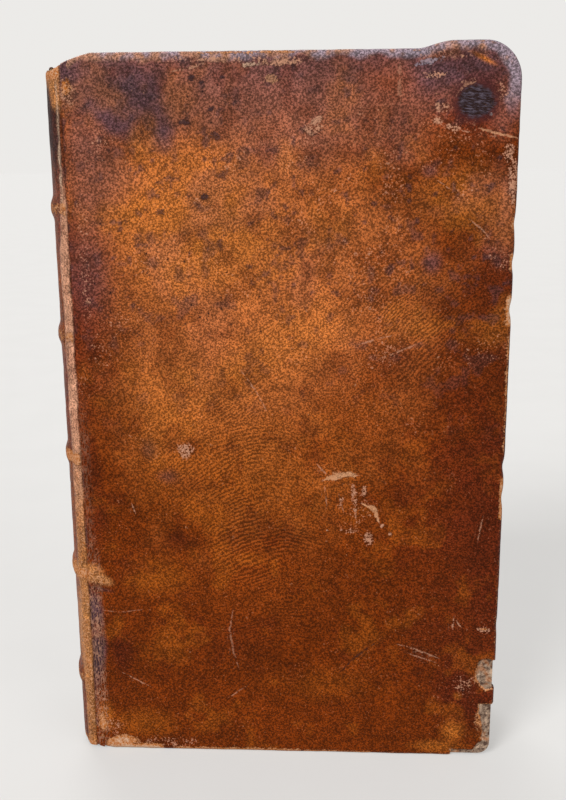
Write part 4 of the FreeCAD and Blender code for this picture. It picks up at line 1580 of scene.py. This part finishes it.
@dataclass
class SpineHide:
    """The hide over the rounded back, raised over the cords and worn short at both ends."""

    size: BookSize
    around: int = 84
    rows: int = 300
    thickness: float = 0.8
    band_height: float = 0.85
    reach: float = math.radians(84.0)

    def build(self, finish: Material) -> Piece:
        """Builds the spine's hide as a closed skin.

        Args:
            finish: the calf's material.

        Returns:
            The finished piece.
        """
        angle = np.linspace(-self.reach, self.reach, self.around)
        t = np.linspace(0.0, 1.0, self.rows)[:, None]
        ragged = np.column_stack([angle * 6.0, angle * 0.0, angle * 0.0])
        low = self.size.spine_low + 0.5 + 0.5 * layered_noise(ragged, 1.6, 61, 4)
        high = self.size.spine_high + 0.6 + 0.8 * layered_noise(ragged, 1.7, 62, 4)
        v = low[None] * (1.0 - t) + high[None] * t
        turn = np.broadcast_to(angle, v.shape)
        rise = self.relief(turn, v)
        end = np.minimum(v - low[None], high[None] - v)
        rounded = self.thickness * 0.5 * smooth_step(0.55, 0.0, end) ** 2
        edge_dip = 0.3 * smooth_step(math.radians(59.5), math.radians(66.0), np.abs(turn))
        outer = self.placed(turn, v, rise - rounded - edge_dip)
        inner = self.placed(turn, v, -self.thickness + rounded)
        skin = Patchwork()
        skin.add_shell(outer, inner, flip=True)
        mesh = skin.mesh("spine_hide")
        self.colour(mesh, np.concatenate([turn, turn[:, ::-1]], 1).ravel(),
                    np.concatenate([v, v[:, ::-1]], 1).ravel())
        piece = new_object("spine_hide", mesh, finish)
        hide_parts("spine_leather")
        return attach(piece, "book_block")

    def placed(self, angle: Array, v: Array, rise: Array) -> Array:
        """Points on the elliptic back, standing out by rise."""
        out, side = self.size.spine_out + rise, self.size.spine_side + rise
        return np.dstack([self.size.spine_x_plane - out * np.cos(angle), side * np.sin(angle), v])

    def relief(self, angle: Array, v: Array) -> Array:
        """Height of the bands, folds and knocks over the plain back."""
        along, up = (angle * BACK_RADIUS).ravel(), v.ravel()
        flat = spots(along, up)
        grain = 0.05 * layered_noise(flat, 2.2, 31, 3) + 0.12 * layered_noise(flat, 17.0, 33, 2)
        folds = layered_noise(spots(along * 3.0, up * 0.7), 9.0, 35, 3)
        total = grain - 0.12 * unit(1.0 - 2.6 * np.abs(folds)) ** 3
        sway = 0.35 * layered_noise(spots(along), 9.0, 41, 2)
        for height in self.size.cord_heights:
            band = np.exp(-(np.abs(up - height - sway) / 2.5) ** 3.2)
            total += self.band_height * band * smooth_step(1.25, 0.7, np.abs(angle.ravel()))
        return total.reshape(v.shape)

    def colour(self, mesh: bpy.types.Mesh, angle: Array, v: Array) -> None:
        """Tones the back, rubbed on its bands and along its middle."""
        along = angle * BACK_RADIUS
        paint(mesh, self.tones(along, v), self.marks(along, v), {"flow": flowing(along, v, 31)})

    def tones(self, along: Array, v: Array) -> Array:
        """The hide's tone, along being counted round the back from its middle."""
        return toned(along, v, SPINE_STAINS_AND_SHADE, CALF.oiled, 9)

    def marks(self, along: Array, v: Array) -> Array:
        """How rubbed, cracked and speckled the back is."""
        flat = spots(along, v)
        rubbed = np.full_like(v, 0.1)
        for height in self.size.cord_heights:
            rubbed = np.maximum(rubbed, 0.55 * np.exp(-((v - height) / 2.2) ** 4))
        ends = np.maximum(np.exp(-((v - self.size.spine_high) / 3.0) ** 2),
                          np.exp(-((v - self.size.spine_low) / 2.6) ** 2))
        rubbed = np.maximum(rubbed, 0.85 * ends) + 0.22 * layered_noise(flat, 14.0, 47, 3)
        cracked = 0.15 + 0.9 * layered_noise(flat, 14.0, 48, 3)
        return np.clip(np.column_stack([rubbed, cracked, np.full_like(v, 0.2)]), 0.0, 1.2)


@dataclass
class Leaves:
    """The block of leaves: slices of paper with ragged edges, backed and hollow at the front."""

    size: BookSize
    gatherings: int = 64
    long_steps: int = 26
    tall_steps: int = 44
    ragged: float = 0.22
    hollow: float = 4.0
    half: float = 14.5

    def build(self, finish: Material) -> Piece:
        """Builds the block and puts it in the place of the text block.

        Args:
            finish: the leaf edges' material.

        Returns:
            The finished piece.
        """
        low, high = self.size.block_low, self.size.block_high
        shares, setbacks = self.slices()
        fore_x = high[0] - self.hollow * (1.0 - shares**2)
        back_x = self.size.spine_x_plane - (self.size.spine_x_plane - low[0]) \
            * np.sqrt(1.0 - np.clip(shares, -0.999, 0.999) ** 2)
        loops = np.stack([self.slice_loop(*row) for row in zip(shares, setbacks, fore_x, back_x)])
        skin = Patchwork()
        grid = skin.add_points(loops)
        skin.add_faces(np.concatenate([grid, grid[:, :1]], axis=1), flip=True)
        for index, flip in ((0, False), (-1, True)):
            self.close(skin, loops[index], grid[index], flip)
        mesh = skin.mesh("leaves")
        piece = new_object("leaves", mesh, finish, smooth=False)
        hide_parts("text_block")
        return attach(piece, "book_block")

    def slices(self) -> tuple[Array, Array]:
        """Places across the block, -1 to 1, and how far each one's edge stands back."""
        steps = np.arange(self.gatherings * 4 + 1)
        shares = steps / steps[-1] * 2.0 - 1.0
        wobble = 0.004 * lattice_noise(spots(steps * 0.31), 7)
        shares[1:-1] += wobble[1:-1]
        index = (steps // 4).astype(float)
        own = lattice_noise(spots(index * 7.31), 3)
        groove = (steps % 4 == 0).astype(float)
        setbacks = self.ragged * (0.5 + 0.5 * own) + 0.16 * groove
        setbacks[[0, -1]] = 0.0
        return np.sort(shares), setbacks

    def slice_loop(self, share: float, inset: float, fore: float, back: float) -> Array:
        """One slice's outline: head from back to fore-edge, down, tail, and up the back."""
        low, high = self.size.block_low[2] + inset, self.size.block_high[2] - inset
        along = np.linspace(0.0, 1.0, self.long_steps + 1) ** 1.8
        x = back + (fore - inset - back) * along
        flare = smooth_step(self.size.spine_x_plane + 0.25, self.size.spine_x_plane - 2.6, x)
        y = share * (self.half + (self.size.block_high[1] - 0.15 - self.half) * flare)
        head, tail = (np.column_stack([x, y, np.full_like(x, z)]) for z in (high, low))
        down = np.linspace(head[-1], tail[-1], self.tall_steps + 1)[1:-1]
        up = np.linspace(tail[0], head[0], self.tall_steps + 1)[1:-1]
        return np.concatenate([head, down, tail[::-1], up])

    def close(self, skin: Patchwork, loop: Array, numbers: Array, flip: bool) -> None:
        """Fills the outermost slice's side with quads."""
        across, tall = self.long_steps + 1, self.tall_steps - 1
        stops = across, across + tall, 2 * across + tall
        head, down, tail, up = np.split(numbers, stops)
        top, _, bottom, _ = np.split(loop, stops)
        tail, up, bottom = tail[::-1], up[::-1], bottom[::-1]
        inner = []
        for index in range(tall):
            share = (index + 1) / (tall + 1)
            line = top * (1.0 - share) + bottom * share
            inner.append(np.concatenate([[up[index]], skin.add_points(line[1:-1]), [down[index]]]))
        skin.add_faces(np.stack([head, *inner, tail]), flip)


class Growth:
    """A Geometry Nodes tree, built with short calls, and its use on one path."""

    def __init__(self, name: str) -> None:
        """Starts a tree that takes and gives geometry."""
        self.tree = bpy.data.node_groups.new(name, "GeometryNodeTree")
        self.tree.interface.new_socket("Path", in_out="INPUT", socket_type="NodeSocketGeometry")
        self.tree.interface.new_socket("Result", in_out="OUTPUT", socket_type="NodeSocketGeometry")
        self.inputs = self.tree.nodes.new("NodeGroupInput")
        self.output = self.tree.nodes.new("NodeGroupOutput")
        self.sockets: dict[str, str] = {}

    def size(self, name: str, kind: str = "NodeSocketFloat") -> Socket:
        """Adds a named input and gives its socket in the tree."""
        item = self.tree.interface.new_socket(name, in_out="INPUT", socket_type=kind)
        self.sockets[name] = item.identifier
        return next(socket for socket in self.inputs.outputs if socket.identifier == item.identifier)

    def node(self, kind: str, settings: dict[str, object] | None = None,
             **links: object) -> bpy.types.Node:
        """Adds a node.

        Args:
            kind: the node's type.
            settings: its plain properties.
            links: for each input, by name with _ for a space, a socket or a constant.
        """
        made = self.tree.nodes.new(kind)
        for name, value in (settings or {}).items():
            setattr(made, name, value)
        for name, value in links.items():
            socket = next(item for item in made.inputs
                          if item.name.replace(" ", "_") == name and item.enabled)
            if isinstance(value, Socket):
                self.tree.links.new(value, socket)
            else:
                socket.default_value = value
        return made

    def finish(self, geometry: Socket, material: Material) -> None:
        """Ends the tree: the instances are made real and get their material."""
        real = self.node("GeometryNodeRealizeInstances", Geometry=geometry)
        dressed = self.node("GeometryNodeSetMaterial", Geometry=real.outputs[0], Material=material)
        self.tree.links.new(dressed.outputs[0], self.output.inputs[0])

    def grow(self, name: str, path: Array, material: Material,
             **sizes: object) -> Piece:
        """Runs the tree along a path and gives the result as a plain mesh.

        Args:
            name: the new piece's name.
            path: points in millimetres.
            material: the material of the result.
            sizes: the tree's inputs, by name with _ for a space.
        """
        line = bpy.data.meshes.new(f"{name}_path")
        edges = [(index, index + 1) for index in range(len(path) - 1)]
        line.from_pydata((path * MM).tolist(), edges, [])
        carrier = bpy.data.objects.new(f"{name}_path", line)
        bpy.context.scene.collection.objects.link(carrier)
        modifier = carrier.modifiers.new("growth", "NODES")
        modifier.node_group = self.tree
        for key, value in sizes.items():
            modifier[self.sockets[key.replace("_", " ")]] = value
        depsgraph = bpy.context.evaluated_depsgraph_get()
        mesh = bpy.data.meshes.new_from_object(carrier.evaluated_get(depsgraph), depsgraph=depsgraph)
        carrier.modifiers.remove(modifier)
        bpy.data.objects.remove(carrier)
        mesh.name = name
        return new_object(name, mesh, material)


@dataclass
class Endbands:
    """The sewn bands at the head and tail of the back: threads wound over a core."""

    size: BookSize
    core: float = 0.56
    thread: float = 0.17
    pitch: float = 0.42
    seed: int = 4
    inset: float = 1.75
    half_width: float = 9.2
    lift: float = 0.4
    run: float = 5.0

    def build(self, finish: Material) -> list[Piece]:
        """Builds both bands and puts them in the place of the solid ones.

        Args:
            finish: the thread's material.
        """
        tree = self.winding(finish)
        out, side = self.size.spine_out - self.inset, self.size.spine_side - self.inset
        reach = math.asin(self.half_width / side)
        angle = np.linspace(-reach, reach, 60)
        pieces = []
        for end, height in (("head", self.size.block_high[2] + self.lift),
                            ("tail", self.size.block_low[2] - self.lift)):
            path = np.column_stack([self.size.spine_x_plane - out * np.cos(angle), side * np.sin(angle),
                                    np.full_like(angle, height)])
            piece = tree.grow(f"{end}_endband_sewing", path, finish, Core_radius=self.core * MM,
                              Thread_radius=self.thread * MM, Pitch=self.pitch * MM, Seed=self.seed)
            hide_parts(f"{end}_endband")
            pieces.append(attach(piece, "book_block"))
        return pieces

    def winding(self, finish: Material) -> Growth:
        """The tree that winds one ring of thread after another round a path."""
        tree = Growth("endband_winding")
        core, thread = tree.size("Core radius"), tree.size("Thread radius")
        pitch, seed = tree.size("Pitch"), tree.size("Seed", "NodeSocketInt")
        path = tree.node("GeometryNodeMeshToCurve", Mesh=tree.inputs.outputs[0])
        spots = tree.node("GeometryNodeResampleCurve", {"mode": "LENGTH"},
                          Curve=path.outputs[0], Length=pitch)
        points = tree.node("GeometryNodeCurveToPoints", {"mode": "EVALUATED"}, Curve=spots.outputs[0])
        ring = tree.node("GeometryNodeCurvePrimitiveCircle", Radius=core, Resolution=12)
        profile = tree.node("GeometryNodeCurvePrimitiveCircle", Radius=thread, Resolution=5)
        wrap = tree.node("GeometryNodeCurveToMesh", Curve=ring.outputs[0], Profile_Curve=profile.outputs[0])
        turn = tree.node("FunctionNodeAlignRotationToVector", {"axis": "Z"}, Vector=points.outputs["Tangent"])
        lean = tree.node("FunctionNodeRandomValue", {"data_type": "FLOAT_VECTOR"},
                         Min=(0.06, -0.05, 0.0), Max=(0.24, 0.08, 6.2), Seed=seed)
        tilted = tree.node("FunctionNodeRotateRotation", {"rotation_space": "LOCAL"},
                           Rotation=turn.outputs[0], Rotate_By=lean.outputs[0])
        swell = tree.node("FunctionNodeRandomValue", {"data_type": "FLOAT"}, Min=0.92, Max=1.08, Seed=seed)
        wraps = tree.node("GeometryNodeInstanceOnPoints", Points=points.outputs[0], Instance=wrap.outputs[0],
                          Rotation=tilted.outputs[0], Scale=swell.outputs["Value"])
        dyed = tree.node("GeometryNodeInputIndex")
        for operation, number in (("MODULO", 2.0 * self.run), ("LESS_THAN", self.run)):
            step = tree.node("ShaderNodeMath", {"operation": operation})
            tree.tree.links.new(dyed.outputs[0], step.inputs[0])
            step.inputs[1].default_value = number
            dyed = step
        named = tree.node("GeometryNodeStoreNamedAttribute", {"domain": "INSTANCE", "data_type": "FLOAT"},
                          Geometry=wraps.outputs[0], Name="dyed", Value=dyed.outputs[0])
        core_line = tree.node("GeometryNodeCurveToMesh", Curve=spots.outputs[0],
                              Profile_Curve=ring.outputs[0], Fill_Caps=True)
        both = tree.node("GeometryNodeJoinGeometry")
        tree.tree.links.new(named.outputs[0], both.inputs[0])
        tree.tree.links.new(core_line.outputs[0], both.inputs[0])
        tree.finish(both.outputs[0], finish)
        return tree


@dataclass
class EndpaperFold:
    """The fold of an endpaper in the joint, from the free leaf to the pasted one."""

    side: Side
    steps: int = 28
    rows: int = 60
    thickness: float = 0.2

    def build(self, finish: Material) -> Piece:
        """Builds the fold.

        Args:
            finish: the paper's material.

        Returns:
            The finished piece.
        """
        word, sign = self.side.word, self.side.value
        free, pasted = corners(f"{word}_flyleaf"), corners(f"{word}_pastedown")
        near = min(abs(free[0][1]), abs(free[1][1])) + 0.02
        far = min(abs(pasted[0][1]), abs(pasted[1][1])) + 0.12
        depth = np.linspace(near, far, self.steps)
        z = np.linspace(free[0][2], free[1][2], self.rows)
        back = free[0][0] + 0.02
        sheet = np.empty((self.rows, self.steps, 3))
        sheet[..., 0], sheet[..., 1], sheet[..., 2] = back, sign * depth[None], z[:, None]
        skin = Patchwork()
        skin.add_shell(sheet, sheet + np.array([self.thickness, 0.0, 0.0]), self.side is Side.FRONT)
        piece = new_object(f"{word}_endpaper_fold", skin.mesh(f"{word}_endpaper_fold"), finish)
        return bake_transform(piece)


@dataclass
class CarriedSolids:
    """The solids that show as they are, with finishes of their own."""

    nodes: dict[str, Piece]

    def dress(self, finishes: dict[str, Material]) -> None:
        """Gives each solid the finish of its kind.

        Args:
            finishes: materials by the word that a node's name holds.
        """
        for name, item in self.nodes.items():
            for word, material in finishes.items():
                if word in name:
                    item.data.materials.clear()
                    item.data.materials.append(material)


@dataclass
class Studio:
    """A pale floor, soft lamps and the camera at the photograph's angle."""

    camera_place: tuple[float, float, float] = (16.1, -298.6, 181.3)
    yaw: float = 2.95
    pitch: float = 13.69
    roll: float = -0.45
    focal_pixels: float = 1010.0
    long_side: float = 800.0
    world_light: float = 0.5
    floor: Colour = (0.32, 0.315, 0.307)
    floor_radius: float = 11.0
    glow: float = 0.42
    backdrop: float = 0.84
    lamps: tuple[tuple, ...] = (
        ("key", (-0.75, -1.15, 1.15), 24.0, 2.65),
        ("fill", (1.1, -1.0, 0.6), 40.0, 0.9),
        ("rim", (-0.4, 1.2, 1.2), 30.0, 1.3),
    )

    def build(self) -> None:
        """Makes the floor, the world, the lamps and the camera."""
        self.lay_floor()
        self.light_world()
        for lamp in self.lamps:
            self.hang_lamp(*lamp)
        self.place_camera()

    def lay_floor(self) -> None:
        """A wide disc that shows the object's shadow and is pale to its edge."""
        mesh = bpy.data.meshes.new("floor")
        turn = np.linspace(0.0, 2.0 * math.pi, 97)[:-1]
        points = [(self.floor_radius * math.cos(angle), self.floor_radius * math.sin(angle), 0.0)
                  for angle in turn]
        mesh.from_pydata(points, [], [list(range(len(points)))])
        mix = Recipe("pale_floor")
        grain = mix.span(mix.noise(40.0, 4.0), 0.3, 0.7, 0.985, 1.015)
        colour = mix.vector("SCALE", self.floor, scale=grain)
        path = mix.node("ShaderNodeLightPath")
        seen = mix.math("MAXIMUM", path.outputs["Is Camera Ray"], path.outputs["Is Glossy Ray"])
        seen = mix.math("MAXIMUM", seen, path.outputs["Is Transmission Ray"])
        material = mix.finish(colour, 0.95, specular=0.1)
        mix.shader.inputs["Emission Color"].default_value = (*self.floor, 1.0)
        mix.put(mix.shader.inputs["Emission Strength"], mix.times(seen, self.glow / self.floor[0]))
        new_object("floor", mesh, material, smooth=False)

    def light_world(self) -> None:
        """An even pale light; it looks as pale as the far floor."""
        world = bpy.data.worlds.new("studio")
        bpy.context.scene.world = world
        world.use_nodes = True
        tree = world.node_tree
        tree.nodes.clear()
        path = tree.nodes.new("ShaderNodeLightPath")
        seen = tree.nodes.new("ShaderNodeMath")
        seen.operation = "MAXIMUM"
        lit, shown = tree.nodes.new("ShaderNodeBackground"), tree.nodes.new("ShaderNodeBackground")
        lit.inputs["Strength"].default_value = self.world_light
        shade = tuple(part / self.floor[0] * self.backdrop for part in self.floor)
        shown.inputs["Color"].default_value = (*shade, 1.0)
        blend, output = tree.nodes.new("ShaderNodeMixShader"), tree.nodes.new("ShaderNodeOutputWorld")
        for start, end in (
            (path.outputs["Is Camera Ray"], seen.inputs[0]),
            (path.outputs["Is Transmission Ray"], seen.inputs[1]),
            (seen.outputs[0], blend.inputs[0]),
            (lit.outputs[0], blend.inputs[1]),
            (shown.outputs[0], blend.inputs[2]),
            (blend.outputs[0], output.inputs["Surface"]),
        ):
            tree.links.new(start, end)

    def hang_lamp(self, name: str, place: tuple[float, float, float], width: float, power: float) -> None:
        """An even lamp from one side, as wide as so many degrees of the sky."""
        light = bpy.data.lights.new(name, "SUN")
        light.angle, light.energy = math.radians(width), power
        lamp = bpy.data.objects.new(name, light)
        bpy.context.scene.collection.objects.link(lamp)
        lamp.location = place
        lamp.rotation_euler = (Vector((0.0, 0.0, 0.1)) - Vector(place)).to_track_quat("-Z", "Y").to_euler()

    def place_camera(self) -> None:
        """The camera, from its place, its turn to the left, its tilt down and its roll."""
        placed = Matrix.Translation(Vector(self.camera_place) * MM)
        for angle, axis in ((self.yaw, "Z"), (90.0 - self.pitch, "X"), (self.roll, "Z")):
            placed = placed @ Matrix.Rotation(math.radians(angle), 4, axis)
        data = bpy.data.cameras.new("photo_camera")
        data.sensor_width = 36.0
        data.lens = self.focal_pixels / self.long_side * data.sensor_width
        data.clip_start, data.clip_end = 0.01, 20.0
        camera = bpy.data.objects.new("photo_camera", data)
        bpy.context.scene.collection.objects.link(camera)
        camera.matrix_world = placed
        bpy.context.scene.camera = camera


def report(name: str, piece: object) -> None:
    """Logs what has been built."""
    pieces = piece if isinstance(piece, list) else [piece]
    for item in pieces:
        log.info("%s: %s, %d faces", name, item.name, len(item.data.polygons))


def main() -> None:
    """Builds the book's visible pieces in order and reports each."""
    logging.basicConfig(level=logging.INFO, format="%(message)s")
    bpy.context.scene.view_settings.view_transform = "Standard"
    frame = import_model()
    size = BookSize.read()

    calf = CalfFinish().material()
    pasteboard = BoardFinish().material()
    low, high = size.block_low, size.block_high
    paper = PaperFinish().material((size.hinge_x, low[2]), (high[0], high[2]))
    hemp = ThreadFinish("hemp_cord", (0.42, 0.29, 0.15), (0.12, 0.065, 0.03), 1.1).material()
    thread = ThreadFinish("endband_thread", (0.38, 0.26, 0.14), (0.08, 0.04, 0.02), 0.3).material()

    for side, across, up in ((Side.FRONT, 216, 368), (Side.BACK, 150, 256)):
        report("cover", CoverHide(side, size, across, up).build(calf))
        report("joint", JointStrip(side, size).build(calf))
        report("endpaper", EndpaperFold(side).build(paper))
    report("spine", SpineHide(size).build(calf))
    report("leaves", Leaves(size).build(LeafFinish().material()))
    report("endbands", Endbands(size).build(thread))
    CarriedSolids(frame["nodes"]).dress({"sewing_cord": hemp, "cord_slips": hemp, "flyleaf": paper,
                                         "pastedown": paper, "_board": pasteboard})
    Studio().build()


if __name__ == "__main__":
    main()
